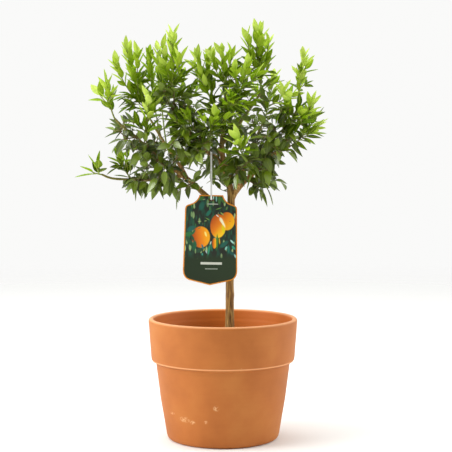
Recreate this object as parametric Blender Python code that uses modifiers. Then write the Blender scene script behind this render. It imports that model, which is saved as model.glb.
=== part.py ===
"""A young chinotto orange tree in a terracotta pot, with a hanging label.

The origin is the middle of the pot's base, on the surface that it stands on, and +Z is up. The label faces
-Y. Tables are in millimetres and MM turns them to metres. The tree's wood is one trunk and its limbs, each a
tapered tube. Each leafy shoot is one closed body, a four-sided twig whose faces are drawn out into leaves.
"""

import math
import random
from typing import NamedTuple

import bmesh
import bpy
from mathutils import Matrix, Vector
from mathutils.bvhtree import BVHTree

MM = 0.001
GAP = 0.3  # air that touching pieces keep between them
UP = Vector((0.0, 0.0, 1.0))
TAU = 2 * math.pi

# Pot
POT_HEIGHT = 194.0
RIM_RADIUS = 120.0
COLLAR_LOW_RADIUS = 115.8
COLLAR_LOW_Z = 131.0
BODY_TOP = (107.9, 122.5)
BODY_BELLY = (100.6, 64.0)
BODY_LOW = (91.9, 12.0)
FLOOR_THICKNESS = 12.0
POT_SIDES = 48
DRAIN_HOLES = 3
DRAIN_RADIUS = 7.0
DRAIN_CIRCLE = 42.0
DRAIN_SIDES = 20
# The inside of the wall, from the rim down: radius, height
INNER_WALL = ((112.6, 192.6), (111.4, 190.0), (110.6, 182.0), (107.8, 152.0), (104.0, 132.0),
              (98.4, 112.0), (92.0, 64.0), (83.5, 18.0), (78.0, FLOOR_THICKNESS))

# Soil
SOIL_EDGE_Z = 152.5
SOIL_MIDDLE_Z = 156.0

# Label and its strap
LABEL_MIDDLE_X = -18.5
LABEL_TOP_Z = 392.5
LABEL_Y = -14.5
LABEL_THICKNESS = 0.8
LABEL_ROLL = math.radians(1.0)  # it hangs a little askew
# Half of the outline, from the top of the tab round to the point: across, and down from the top
LABEL_HALF = (
    (19.0, 0.0), (20.3, 4.0), (23.5, 8.7), (28.2, 12.6), (33.8, 14.9), (38.4, 16.6), (40.8, 19.0),
    (41.6, 22.5), (43.6, 121.0), (42.6, 127.6), (39.2, 133.2), (34.0, 136.6), (0.0, 144.5))
SLOT_WIDTH = 8.0
SLOT_HEIGHT = 3.4
SLOT_DOWN = 8.0
STRAP_WIDTH = 3.0
STRAP_THICKNESS = 0.6
STRAP_OUTER_RADIUS = 6.2
STRAP_TOP_Z = 476.0
STRAP_STEPS = 10  # in each half turn of the band

# Leaves and twigs
GOLDEN_TURN = math.radians(137.5)
# What is added to a leaf's turn and tilt, in radians, until it has room
TRIES = ((0.0, 0.0), (0.35, 0.0), (-0.35, 0.0), (0.0, -0.25), (0.6, -0.15), (-0.6, -0.15))
LIGHT_SHARE = 0.65  # how far a leaf's upper side turns from the twig's tip to the sky
NEARLY_NONE = 0.12  # below this a leaf heads so nearly for the light that its upper side is unsettled
END_TILT = 0.12
END_LEAF = 0.62  # the leaf at a twig's end, as a share of a full leaf
LEAF_THICKNESS = 0.8
TWIG_HALF = (1.2, 0.75)  # half of a twig's width, at its foot and its tip
SIDE_TWIG_HALF = (1.0, 0.7)
SIDE_TWIG_START = 2.5
LEAF_STATIONS = ((0.40, 1.0), (0.76, 0.62))  # along the blade, and how much of its width is there
LEAF_FOOT = (0.06, 0.5)  # where a blade leaves its twig, as a share of its length, and half of its width
NECK_START = 0.12  # where a blade's test against its own twig starts, as a share of the way to its middle
SHORTEST_LEAF = 0.66  # the youngest leaf that grows from a twig's side, as a share of a full leaf
LEAN_BACK = 0.7  # how much a leaf prefers the face of its node that looks back along the twig
NODE_LENGTH = 1.4  # a twig's short stretch that one leaf or side twig grows from
TWIG_CLEAR_REACH = 16  # how many of a twig's first points may be inside the stem that it grows from
TWIG_BEND = (0.62, 0.34)  # how far out and how far up the corner of a twig's curve is, as shares of its reach
CORNERS = ((1, 1), (-1, 1), (-1, -1), (1, -1))  # of a rectangle, anticlockwise
SEARCH_REACH = 20.0
STEM_STEP = 15.0  # between the rings of a limb


class Habit(NamedTuple):
    """How the leaves sit on a shoot of one age. Lengths in millimetres, angles in degrees from the twig."""

    leaf: float
    slimness: float
    spacing: float
    low_tilt: float
    high_tilt: float
    droop: float


class Limb(NamedTuple):
    """A tapered stem: x, y, z and radius along its middle line, and the stems that it grows from."""

    name: str
    parents: tuple
    points: tuple


class Shoot(NamedTuple):
    """A leafy shoot: its twig's base and tip, and its side twigs, each a share of the way up and a tip."""

    name: str
    habit: Habit
    base: tuple
    tip: tuple
    sides: tuple = ()


FLUSH = Habit(leaf=27.0, slimness=0.33, spacing=16.5, low_tilt=58.0, high_tilt=24.0, droop=0.08)
MATURE = Habit(leaf=28.0, slimness=0.38, spacing=17.0, low_tilt=72.0, high_tilt=46.0, droop=0.24)

TRUNK = Limb("trunk", (), (
    (11, 0, 108, 4.5), (11, 0, 130, 7.5), (11, 0, 152, 9.4), (11, 0, 168, 8.3), (11, 0, 196, 7.0),
    (11, 0, 240, 6.5), (12, 0, 300, 6.3), (13, 0, 350, 6.3), (13, 0, 386, 6.0), (10, 1, 412, 5.1),
    (3, 2, 437, 4.6), (-2, 3, 468, 4.0), (1, 4, 500, 3.4), (4, 2, 532, 2.8), (4, 0, 560, 2.2)))

LIMBS = (
    Limb("limb_left", ("trunk",), (
        (13, 0, 350, 4.4), (0, 2, 364, 4.6), (-20, 4, 384, 4.4), (-36, 4, 399, 4.2), (-52, 2, 414, 3.9),
        (-76, -2, 432, 3.5), (-106, -8, 454, 3.0), (-138, -14, 484, 2.4), (-160, -16, 502, 2.0),
        (-172, -17, 514, 1.8))),
    Limb("limb_low_left", ("limb_left",), (
        (-64, 0, 423, 2.6), (-82, 4, 421, 2.5), (-112, 8, 417, 2.3), (-150, 4, 417, 2.0),
        (-178, -2, 419, 1.8), (-194, -4, 425, 1.6))),
    Limb("limb_mid_left", ("limb_left",), (
        (-58, 1, 418, 2.9), (-66, 14, 434, 2.9), (-84, 32, 459, 2.6), (-101, 46, 484, 2.3),
        (-119, 58, 514, 1.8))),
    Limb("limb_upper_left", ("trunk",), (
        (2, 2, 440, 3.2), (-12, 0, 451, 3.2), (-24, -4, 461, 3.1), (-38, -16, 475, 3.0), (-54, -28, 495, 2.6),
        (-76, -40, 536, 2.0))),
    Limb("limb_front", ("trunk",), (
        (-1, 3, 459, 2.8), (-8, -5, 464, 2.5), (-18.5, -14.5, 468.5, 1.9), (-30, -30, 479, 2.0),
        (-40, -44, 492, 1.8))),
    Limb("limb_right", ("trunk",), (
        (13, 0, 384, 3.8), (22, -2, 399, 4.1), (38, -4, 417, 3.8), (60, -6, 437, 3.4), (84, -8, 459, 2.9),
        (102, -6, 481, 2.5), (117, 0, 526, 1.9))),
    Limb("limb_front_right", ("trunk", "limb_right"), (
        (20, -2, 397, 3.0), (25, -14, 410, 3.0), (30, -28, 424, 2.6), (34, -50, 452, 1.9))),
    Limb("limb_upper_right", ("trunk",), (
        (-1, 3, 476, 3.0), (14, 12, 492, 3.0), (31, 24, 514, 2.7), (62, 44, 558, 2.0))),
    Limb("limb_back_left", ("trunk",), (
        (5, 2, 431, 3.0), (-8, 20, 448, 3.0), (-27, 46, 476, 2.6), (-54, 86, 528, 1.8))),
    Limb("limb_back_right", ("trunk",), (
        (8, 1, 418, 3.0), (23, 20, 438, 3.1), (44, 46, 464, 2.7), (70, 86, 518, 1.8))),
)

SHOOTS = (
    Shoot("shoot_far_left", FLUSH, (-172, -17, 514), (-184, -30, 566),
          ((0.5, (-195, -16, 551)), (0.6, (-174, -38, 550)))),
    Shoot("shoot_left_end", FLUSH, (-194, -4, 425), (-206, -10, 428), ((0.35, (-198, -22, 437)),)),
    Shoot("shoot_left_low", FLUSH, (-146, 5, 417), (-167, 10, 452), ((0.5, (-153, -14, 453)),)),
    Shoot("shoot_left_inner", MATURE, (-138, -14, 484), (-156, -54, 480), ((0.5, (-166, -44, 499)),)),
    Shoot("shoot_left_crook", MATURE, (-156, -16, 499), (-160, 24, 512), ((0.5, (-169, 22, 497)),)),
    Shoot("shoot_tall_left", FLUSH, (-119, 58, 514), (-159, 66, 629),
          ((0.25, (-174, 40, 602)), (0.5, (-141, 54, 620)))),
    Shoot("shoot_left_front", FLUSH, (-126, -12, 473), (-116, -52, 543), ((0.6, (-103, -44, 540)),)),
    Shoot("shoot_left_behind", FLUSH, (-101, 46, 484), (-126, 108, 624), ((0.5, (-150, 104, 590)),)),
    Shoot("shoot_left_mid", FLUSH, (-92, 38, 470), (-106, 34, 626), ((0.6, (-96, 52, 606)),)),
    Shoot("shoot_crown_left", FLUSH, (-76, -40, 536), (-78, -46, 640),
          ((0.3, (-94, -60, 617)), (0.35, (-66, -58, 603)), (0.5, (-82, -30, 632)))),
    Shoot("shoot_crown_mid_left", FLUSH, (0, 4, 512), (-42, 26, 615),
          ((0.6, (-47, 34, 602)), (0.6, (-26, 46, 616)))),
    Shoot("shoot_crown_mid", FLUSH, (4, 0, 560), (-2, -18, 618),
          ((0.25, (-18, 14, 611)), (0.3, (15, 10, 617)))),
    Shoot("shoot_crown_mid_right", FLUSH, (4, 2, 530), (38, -50, 594),
          ((0.5, (18, -62, 584)), (0.5, (53, -44, 580)))),
    Shoot("shoot_crown_front", FLUSH, (3, 3, 520), (12, -80, 545),
          ((0.6, (24, -76, 536)), (0.4, (45, -30, 540)))),
    Shoot("shoot_crown_right", FLUSH, (62, 44, 558), (63, 46, 657),
          ((0.25, (39, 26, 643)), (0.3, (75, 60, 642)), (0.45, (53, 30, 651)))),
    Shoot("shoot_right_front", FLUSH, (112, -4, 502), (95, -54, 554), ((0.5, (101, -62, 541)),)),
    Shoot("shoot_tall_right", FLUSH, (117, 0, 526), (128, 6, 613),
          ((0.4, (121, 16, 588)), (0.7, (133, -6, 602)))),
    Shoot("shoot_right_side", FLUSH, (108, -5, 494), (138, -44, 533), ((0.5, (120, -56, 519)),)),
    Shoot("shoot_far_right", FLUSH, (101, -6, 479), (151, 20, 501), ((0.5, (141, 38, 520)),)),
    Shoot("shoot_right_dark", MATURE, (86, -8, 461), (98, -50, 522), ((0.5, (74, -60, 506)),)),
    Shoot("shoot_right_low", MATURE, (84, -8, 459), (126, -30, 486), ((0.5, (102, -54, 480)),)),
    Shoot("shoot_right_heart", MATURE, (60, -6, 437), (72, -70, 486),
          ((0.5, (88, -72, 462)), (0.4, (46, -46, 512)))),
    Shoot("shoot_right_belly", MATURE, (58, -6, 435), (72, -54, 443), ((0.45, (58, -60, 432)),)),
    Shoot("shoot_right_hang", MATURE, (38, -4, 417), (54, -34, 405), ((0.5, (72, -24, 403)),)),
    Shoot("shoot_right_hang_back", MATURE, (62, -6, 439), (78, 26, 410), ((0.5, (60, 42, 410)),)),
    Shoot("shoot_front_bright", FLUSH, (34, -50, 452), (29, -90, 475), ((0.4, (42, -82, 470)),)),
    Shoot("shoot_front_pale", MATURE, (29, -26, 421), (8, -60, 442), ((0.5, (42, -76, 448)),)),
    Shoot("shoot_front", FLUSH, (-28, -28, 477), (-12, -78, 514),
          ((0.45, (-32, -82, 511)), (0.5, (4, -70, 511)))),
    Shoot("shoot_front_left", FLUSH, (-40, -44, 492), (-54, -84, 514), ((0.4, (-74, -68, 508)),)),
    Shoot("shoot_front_dark", MATURE, (-34, -36, 484), (-42, -76, 458), ((0.5, (-22, -74, 462)),)),
    Shoot("shoot_left_heart", MATURE, (-36, -14, 473), (-74, -60, 484), ((0.5, (-58, -72, 496)),)),
    Shoot("shoot_upper_dark", MATURE, (-54, -28, 493), (-60, -60, 534), ((0.5, (-42, -48, 526)),)),
    Shoot("shoot_upper_left_dark", MATURE, (-66, -34, 512), (-92, -52, 556), ((0.4, (-76, -56, 554)),)),
    Shoot("shoot_left_belly", MATURE, (-76, -2, 432), (-96, -60, 444),
          ((0.45, (-70, -66, 456)), (0.5, (-120, -58, 436)))),
    Shoot("shoot_left_shoulder", MATURE, (-106, -8, 454), (-120, -56, 478), ((0.5, (-140, -54, 464)),)),
    Shoot("shoot_left_hang", MATURE, (-112, 8, 417), (-140, -22, 417), ((0.5, (-120, -38, 414)),)),
    Shoot("shoot_left_hang_inner", MATURE, (-80, 4, 421), (-108, 40, 415), ((0.5, (-84, 46, 417)),)),
    Shoot("shoot_label_side", MATURE, (-50, 3, 412), (-60, -32, 400), ((0.5, (-44, -40, 414)),)),
    Shoot("shoot_back_left", FLUSH, (-54, 86, 528), (-72, 116, 594),
          ((0.4, (-38, 134, 578)), (0.4, (-102, 122, 564)))),
    Shoot("shoot_back_right", FLUSH, (70, 86, 518), (84, 112, 588),
          ((0.4, (116, 104, 558)), (0.45, (54, 138, 570)))),
    Shoot("shoot_back_left_dark", MATURE, (-27, 46, 476), (-88, 104, 468), ((0.5, (-50, 132, 484)),)),
    Shoot("shoot_back_right_dark", MATURE, (44, 46, 464), (98, 92, 478), ((0.5, (72, 128, 494)),)),
    Shoot("shoot_back", FLUSH, (-1, 4, 486), (6, 108, 554),
          ((0.5, (-24, 140, 534)), (0.5, (36, 138, 522)))),
    Shoot("shoot_back_low", MATURE, (-10, 22, 451), (-18, 110, 430), ((0.5, (24, 124, 440)),)),
    Shoot("shoot_left_back", MATURE, (-96, -5, 447), (-136, 84, 462), ((0.5, (-108, 104, 500)),)),
)

COLORS = {
    "pot": ((0.52, 0.205, 0.080), 0.85),
    "soil": ((0.030, 0.020, 0.014), 0.95),
    "bark": ((0.235, 0.140, 0.062), 0.80),
    "flush": ((0.265, 0.480, 0.040), 0.42),
    "mature": ((0.030, 0.085, 0.014), 0.35),
    "label": ((0.030, 0.065, 0.030), 0.30),
    "strap": ((0.85, 0.85, 0.83), 0.40),
}


def empty_scene():
    """Remove every object of the scene that the script starts in."""
    for obj in list(bpy.data.objects):
        bpy.data.objects.remove(obj, do_unlink=True)


def new_collection(name):
    """Return a new collection in the scene."""
    collection = bpy.data.collections.new(name)
    bpy.context.scene.collection.children.link(collection)
    return collection


def material(name):
    """Return the material of this name, made the first time from its colour and roughness."""
    found = bpy.data.materials.get(name)
    if found:
        return found
    color, roughness = COLORS[name]
    made = bpy.data.materials.new(name)
    made.use_nodes = True
    made.diffuse_color = (*color, 1.0)
    shader = made.node_tree.nodes["Principled BSDF"]
    shader.inputs["Base Color"].default_value = (*color, 1.0)
    shader.inputs["Roughness"].default_value = roughness
    return made


def add_object(name, data, collection, finish=None):
    """Put mesh or curve data in the scene as an object with a finish."""
    obj = bpy.data.objects.new(name, data)
    collection.objects.link(obj)
    if finish:
        data.materials.append(material(finish))
    return obj


def add_cut(obj, cutter):
    """Take the cutter's shape out of the object, and make the cutter a guide."""
    cut = obj.modifiers.new("cut", "BOOLEAN")
    cut.operation = "DIFFERENCE"
    cut.solver = "EXACT"
    cut.object = cutter
    cutter.hide_render = True
    cutter.display_type = "WIRE"


def mesh_of_curve(curve_object, collection, finish=None):
    """Make a curve object a mesh whose caps are joined to its sides, and remove the curve."""
    name = curve_object.name
    evaluated = curve_object.evaluated_get(bpy.context.evaluated_depsgraph_get())
    mesh = bpy.data.meshes.new_from_object(evaluated)
    bm = bmesh.new()
    bm.from_mesh(mesh)
    bmesh.ops.remove_doubles(bm, verts=bm.verts, dist=0.01 * MM)
    bm.to_mesh(mesh)
    bm.free()
    matrix = curve_object.matrix_world.copy()
    bpy.data.objects.remove(curve_object)
    mesh.name = name
    mesh.materials.clear()
    obj = add_object(name, mesh, collection, finish)
    obj.matrix_world = matrix
    return obj


def turned(name, profile, collection, finish):
    """Turn a profile of radius and height about Z. The profile runs down the outer side of the shape."""
    mesh = bpy.data.meshes.new(name)
    bm = bmesh.new()
    verts = [bm.verts.new((radius * MM, 0.0, z * MM)) for radius, z in profile]
    for start, end in zip(verts, verts[1:]):
        bm.edges.new((start, end))
    bm.to_mesh(mesh)
    bm.free()
    obj = add_object(name, mesh, collection, finish)
    screw = obj.modifiers.new("turn", "SCREW")
    screw.axis = "Z"
    screw.steps = screw.render_steps = POT_SIDES
    screw.use_merge_vertices = True
    screw.merge_threshold = 0.00001
    screw.use_smooth_shade = True
    return obj


def inner_wall_radius(height):
    """Radius of the pot's inside at a height, in millimetres."""
    for (upper, high), (lower, low) in zip(INNER_WALL, INNER_WALL[1:]):
        if low <= height <= high:
            return lower + (upper - lower) * (height - low) / (high - low)
    raise ValueError("the height is outside the pot's inner wall")


def make_pot(parts, cutters):
    """The terracotta pot: a tapered body under a deep collar, with drain holes round its floor's middle."""
    lip = [(RIM_RADIUS - inward, POT_HEIGHT - down) for inward, down in
           ((5.0, 0.3), (2.6, 0.0), (0.9, 1.5), (0.0, 4.0))]
    collar = [(COLLAR_LOW_RADIUS - inward, COLLAR_LOW_Z - down) for inward, down in
              ((0.0, 0.0), (0.7, 3.2), (2.4, 5.4), (5.0, 6.5), (7.1, 6.9))]
    base = [(BODY_LOW[0] - inward, height) for inward, height in
            ((0.8, 8.0), (2.1, 4.2), (4.4, 1.3), (7.4, 0.0))]
    outside = lip + collar + [BODY_TOP, BODY_BELLY, BODY_LOW] + base
    inside = [(0.0, FLOOR_THICKNESS)] + list(reversed(INNER_WALL))
    pot = turned("pot", inside + outside + [(0.0, 0.0)], parts, "pot")
    for number in range(DRAIN_HOLES):
        turn = TAU * number / DRAIN_HOLES
        place = Vector((DRAIN_CIRCLE * math.sin(turn), DRAIN_CIRCLE * math.cos(turn), FLOOR_THICKNESS / 2))
        bpy.ops.mesh.primitive_cylinder_add(
            vertices=DRAIN_SIDES, radius=DRAIN_RADIUS * MM, depth=3 * FLOOR_THICKNESS * MM,
            location=place * MM)
        cutter = bpy.context.object
        cutter.name = f"drain_cutter_{number + 1}"
        for used in list(cutter.users_collection):
            used.objects.unlink(cutter)
        cutters.objects.link(cutter)
        add_cut(pot, cutter)


def make_soil(parts, cutters):
    """The compost that fills the pot to below its rim, with the hole that the trunk's foot stands in."""
    heights = [SOIL_EDGE_Z, 112.0, 64.0, 18.0]
    wall = [(inner_wall_radius(height) - GAP, height) for height in heights]
    bottom = FLOOR_THICKNESS + GAP
    profile = [(0.0, SOIL_MIDDLE_Z), (60.0, SOIL_MIDDLE_Z - 0.8), (96.0, SOIL_EDGE_Z + 1.2)] + wall
    soil = turned("soil", profile + [(INNER_WALL[-1][0] - GAP, bottom), (0.0, bottom)], parts, "soil")
    x, y, foot_z, radius = TRUNK.points[0]
    foot = ((x, y, foot_z - GAP, radius), *TRUNK.points)
    add_cut(soil, stem_mesh("soil_cutter", foot, cutters, extra=GAP))


def smooth_route(points, step):
    """Points about a step apart on a smooth curve through the given ones. Each may also carry a radius."""
    size = len(points[0])
    ends = [points[0], *points, points[-1]]
    route = []
    for before, start, end, after in zip(ends, ends[1:], ends[2:], ends[3:]):
        count = max(1, round(math.dist(start[:3], end[:3]) / step))
        for number in range(count):
            t = number / count
            route.append(tuple(
                0.5 * (2 * start[i] + (end[i] - before[i]) * t
                       + (2 * before[i] - 5 * start[i] + 4 * end[i] - after[i]) * t ** 2
                       + (3 * start[i] - before[i] - 3 * end[i] + after[i]) * t ** 3)
                for i in range(size)))
    route.append(tuple(float(value) for value in points[-1]))
    return route


def stem_mesh(name, points, collection, extra=0.0, finish=None):
    """A tapered tube with filled caps along the points, widened by extra."""
    curve = bpy.data.curves.new(name, "CURVE")
    curve.dimensions = "3D"
    curve.bevel_depth = MM
    curve.bevel_resolution = 2
    curve.use_fill_caps = True
    route = smooth_route(points, STEM_STEP)
    spline = curve.splines.new("POLY")
    spline.points.add(len(route) - 1)
    for point, (x, y, z, radius) in zip(spline.points, route):
        point.co = (x * MM, y * MM, z * MM, 1.0)
        point.radius = radius + extra
    return mesh_of_curve(add_object(name, curve, collection), collection, finish)


def make_wood(parts, cutters):
    """The trunk and the limbs, each cut to sit against the stems that it grows from."""
    stems = [TRUNK, *LIMBS]
    wood = [stem_mesh(stem.name, stem.points, parts, finish="bark") for stem in stems]
    forked = {parent for stem in stems for parent in stem.parents}
    wide = {stem.name: stem_mesh(f"{stem.name}_cutter", stem.points, cutters, extra=GAP)
            for stem in stems if stem.name in forked}
    for stem, obj in zip(stems, wood):
        for parent in stem.parents:
            add_cut(obj, wide[parent])
    return wood


def make_label(parts):
    """The hanging card: a flat outline with a slot in its tab, standing upright and facing -Y."""
    curve = bpy.data.curves.new("label", "CURVE")
    curve.dimensions = "2D"
    curve.fill_mode = "BOTH"
    curve.extrude = LABEL_THICKNESS / 2 * MM
    mirrored = [(-x, down) for x, down in reversed(LABEL_HALF[:-1])]
    slot = [(side * SLOT_WIDTH / 2, SLOT_DOWN + edge * SLOT_HEIGHT / 2) for side, edge in
            ((-1, -1), (1, -1), (1, 1), (-1, 1))]
    for outline in (list(LABEL_HALF) + mirrored, slot):
        add_outline(curve, [(x, -down) for x, down in outline])
    label = add_object("label", curve, parts, "label")
    label.rotation_euler = (math.radians(90), LABEL_ROLL, 0.0)
    label.location = (LABEL_MIDDLE_X * MM, LABEL_Y * MM, LABEL_TOP_Z * MM)
    return label


def add_outline(curve, outline):
    """Add a closed flat outline, in millimetres, to a 2D curve."""
    spline = curve.splines.new("POLY")
    spline.points.add(len(outline) - 1)
    spline.use_cyclic_u = True
    for point, (x, y) in zip(spline.points, outline):
        point.co = (x * MM, y * MM, 0.0, 1.0)


def make_strap(parts):
    """The label's strap: a thin closed band, through the slot below and over the front limb above."""
    curve = bpy.data.curves.new("label_strap", "CURVE")
    curve.dimensions = "2D"
    curve.fill_mode = "BOTH"
    curve.extrude = STRAP_WIDTH / 2 * MM
    low_z = LABEL_TOP_Z - SLOT_DOWN + STRAP_OUTER_RADIUS
    high_z = STRAP_TOP_Z - STRAP_OUTER_RADIUS
    for radius in (STRAP_OUTER_RADIUS, STRAP_OUTER_RADIUS - STRAP_THICKNESS):
        turns = [math.pi * number / STRAP_STEPS for number in range(STRAP_STEPS + 1)]
        top = [(radius * math.cos(turn), high_z + radius * math.sin(turn)) for turn in turns]
        low = [(-x, low_z + high_z - z) for x, z in top]
        add_outline(curve, top + low)
    strap = add_object("label_strap", curve, parts, "strap")
    strap.rotation_euler = (math.radians(90), 0.0, math.radians(90))
    strap.location = (LABEL_MIDDLE_X * MM, LABEL_Y * MM, 0.0)
    return strap


class Placed(NamedTuple):
    """A shape that later leaves and twigs keep clear of."""

    owner: tuple
    middle: Vector
    reach: float
    tree: BVHTree


class Space:
    """Everything built so far, in millimetres, and the tests against it."""

    def __init__(self):
        self.placed = []

    def add(self, owner, points, faces):
        """Remember a shape."""
        middle = sum(points, Vector()) / len(points)
        reach = max((point - middle).length for point in points)
        self.placed.append(Placed(owner, middle, reach, BVHTree.FromPolygons(points, faces)))

    def add_object(self, obj):
        """Remember an object's evaluated shape."""
        evaluated = obj.evaluated_get(bpy.context.evaluated_depsgraph_get())
        mesh = evaluated.to_mesh()
        points = [obj.matrix_world @ vert.co / MM for vert in mesh.vertices]
        self.add((obj.name,), points, [tuple(face.vertices) for face in mesh.polygons])
        evaluated.to_mesh_clear()

    def meetings(self, points, faces, owner):
        """The placed shapes of other owners that a shape meets."""
        middle = sum(points, Vector()) / len(points)
        reach = max((point - middle).length for point in points)
        near = [item for item in self.placed
                if item.owner != owner and (item.middle - middle).length < item.reach + reach]
        tree = BVHTree.FromPolygons(points, faces)
        return [item for item in near if tree.overlap(item.tree)]

    def distance(self, point):
        """Distance from a point to the nearest surface, where that is under SEARCH_REACH."""
        found = [item.tree.find_nearest(point, SEARCH_REACH)[3] for item in self.placed
                 if (item.middle - point).length < item.reach + SEARCH_REACH]
        return min((near for near in found if near is not None), default=SEARCH_REACH)


def rectangle(middle, across, along, half_across, half_along):
    """The four corners of a rectangle, anticlockwise about the cross product of across and along."""
    return [middle + across * (a * half_across) + along * (b * half_along) for a, b in CORNERS]


def least_twisted(corners, places):
    """Four places, in the order in which the four corners that go to them keep their directions best."""
    start, end = (sum(points, Vector()) / 4 for points in (corners, places))
    arms = [(corner - start).normalized() for corner in corners]

    def agreement(turn):
        """How nearly the corners keep their directions if they go to the places a few steps round."""
        return sum(arm.dot(places[(index + turn) % 4] - end) for index, arm in enumerate(arms))

    best = max(range(4), key=agreement)
    return [places[(index + best) % 4] for index in range(4)]


def draw_out(bm, face, middle, across, along, half_across, half_along):
    """Extrude a four-cornered face into a rectangle elsewhere, with as little twist as it can have."""
    cap = bmesh.ops.extrude_discrete_faces(bm, faces=[face])["faces"][0]
    verts = [loop.vert for loop in cap.loops]
    places = rectangle(middle, across, along, half_across, half_along)
    for vert, place in zip(verts, least_twisted([vert.co.copy() for vert in verts], places)):
        vert.co = place
    return cap


def side_faces(cap):
    """The faces round a face that was just drawn out."""
    return [next(face for face in edge.link_faces if face is not cap) for edge in cap.edges]


class Node(NamedTuple):
    """A short stretch of twig that carries one leaf: its place, the twig's frame, and its side faces."""

    middle: Vector
    direction: Vector
    across: Vector
    faces: list


class Axis(NamedTuple):
    """A twig as it is built: its nodes, its end face, and its frame there."""

    nodes: list
    end: object
    direction: Vector
    across: Vector


def twig_route(base, tip):
    """Points 1 mm apart from the base out and then round to the tip."""
    base, tip = Vector(base), Vector(tip)
    reach = tip - base
    out, up = TWIG_BEND
    bend = base + Vector((reach.x * out, reach.y * out, reach.z * up))
    count = round(reach.length)
    shares = [number / count for number in range(count + 1)]
    return [base * (1 - t) ** 2 + bend * (2 * t * (1 - t)) + tip * t ** 2 for t in shares]


def clear_start(route, half_width, space):
    """Leave out the first points of a route, which are inside the stem that it grows from."""
    first = 0
    for index, point in enumerate(route[:TWIG_CLEAR_REACH]):
        if space.distance(point) < half_width * math.sqrt(2) + GAP:
            first = index + 1
    return route[first:]


def grow_twig(bm, face, route, spacing, halves):
    """Draw a twig out of a face along a route of points 1 mm apart, with a node every spacing."""
    length = len(route) - 1
    count = max(1, int(length / spacing))
    stops = []
    for number in range(count):
        at = length * (number + 0.5) / count
        stops += [(at - NODE_LENGTH / 2, False), (at + NODE_LENGTH / 2, True)]
    stops.append((float(length), False))
    across = (route[1] - route[0]).cross(UP).normalized()
    nodes = []
    for stop, ends_node in stops:
        index = min(int(stop), length - 1)
        middle = route[index].lerp(route[index + 1], stop - index)
        ahead = (route[index + 1] - route[index]).normalized()
        across = (across - ahead * across.dot(ahead)).normalized()
        half = halves[0] + (halves[1] - halves[0]) * stop / length
        face = draw_out(bm, face, middle, across, ahead.cross(across), half, half)
        if ends_node:
            nodes.append(Node(middle, ahead, across, side_faces(face)))
    return Axis(nodes, face, ahead, across)


def facing(node, direction):
    """The node's free face that looks most nearly along a direction."""
    return max((face for face in node.faces if face.is_valid), key=lambda face: face.normal.dot(direction))


class Leaf(NamedTuple):
    """A leaf blade: its foot, direction, upper side, length, half width and how far its tip hangs."""

    foot: Vector
    direction: Vector
    upper: Vector
    length: float
    half_width: float
    droop: float

    def frame(self, share):
        """Middle, width direction and upper side of the blade a share of the way along it."""
        sag = self.length * self.droop * share ** 2
        middle = self.foot + self.direction * (self.length * share) - UP * sag
        heading = (self.direction - UP * (2 * self.droop * share)).normalized()
        upper = (self.upper - heading * self.upper.dot(heading)).normalized()
        return middle, upper.cross(heading), upper

    def hull(self, room):
        """The blade as points and faces, with room to spare all round."""
        foot, half_foot = LEAF_FOOT
        points = rectangle(*self.frame(foot), half_foot + room, half_foot + room)
        for share, width in LEAF_STATIONS:
            points += rectangle(*self.frame(share), self.half_width * width + room, LEAF_THICKNESS / 2 + room)
        points.append(self.frame(1.0)[0] + self.direction * room)
        faces = [(0, 1, 2, 3)]
        for ring in (0, 4):
            faces += [(ring + i, ring + (i + 1) % 4, ring + 4 + (i + 1) % 4, ring + 4 + i) for i in range(4)]
        faces += [(8 + i, 8 + (i + 1) % 4, 12) for i in range(4)]
        return points, faces

    def neck(self, face):
        """The blade's lower part as points and faces, from just off the face that it is drawn out of."""
        share, width = LEAF_STATIONS[0]
        corners = [loop.vert.co.copy() for loop in face.loops]
        places = rectangle(*self.frame(share), self.half_width * width, LEAF_THICKNESS / 2)
        ring = least_twisted(corners, places)
        points = [corner.lerp(place, NECK_START) for corner, place in zip(corners, ring)] + ring
        return points, [(i, (i + 1) % 4, 4 + (i + 1) % 4, 4 + i) for i in range(4)] + [(3, 2, 1, 0)]


def grow_leaf(bm, face, leaf):
    """Draw a leaf out of a twig's face, and close it in a point."""
    for share, width in LEAF_STATIONS:
        face = draw_out(bm, face, *leaf.frame(share), leaf.half_width * width, LEAF_THICKNESS / 2)
    cap = bmesh.ops.extrude_discrete_faces(bm, faces=[face])["faces"][0]
    bmesh.ops.pointmerge(bm, verts=list(cap.verts), merge_co=leaf.frame(1.0)[0])


def leaf_at(node, turn, tilt, habit, length):
    """The leaf that grows from a node at a turn about the twig and a tilt away from it."""
    out = node.across * math.cos(turn) + node.direction.cross(node.across) * math.sin(turn)
    heading = (node.direction * math.cos(tilt) + out * math.sin(tilt)).normalized()
    light = node.direction.lerp(UP, LIGHT_SHARE)
    upper = light - heading * light.dot(heading)
    if upper.length < NEARLY_NONE:
        upper = node.direction.cross(heading) + node.across * NEARLY_NONE
        upper -= heading * upper.dot(heading)
    return Leaf(node.middle, heading, upper.normalized(), length, length * habit.slimness / 2, habit.droop)


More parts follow.
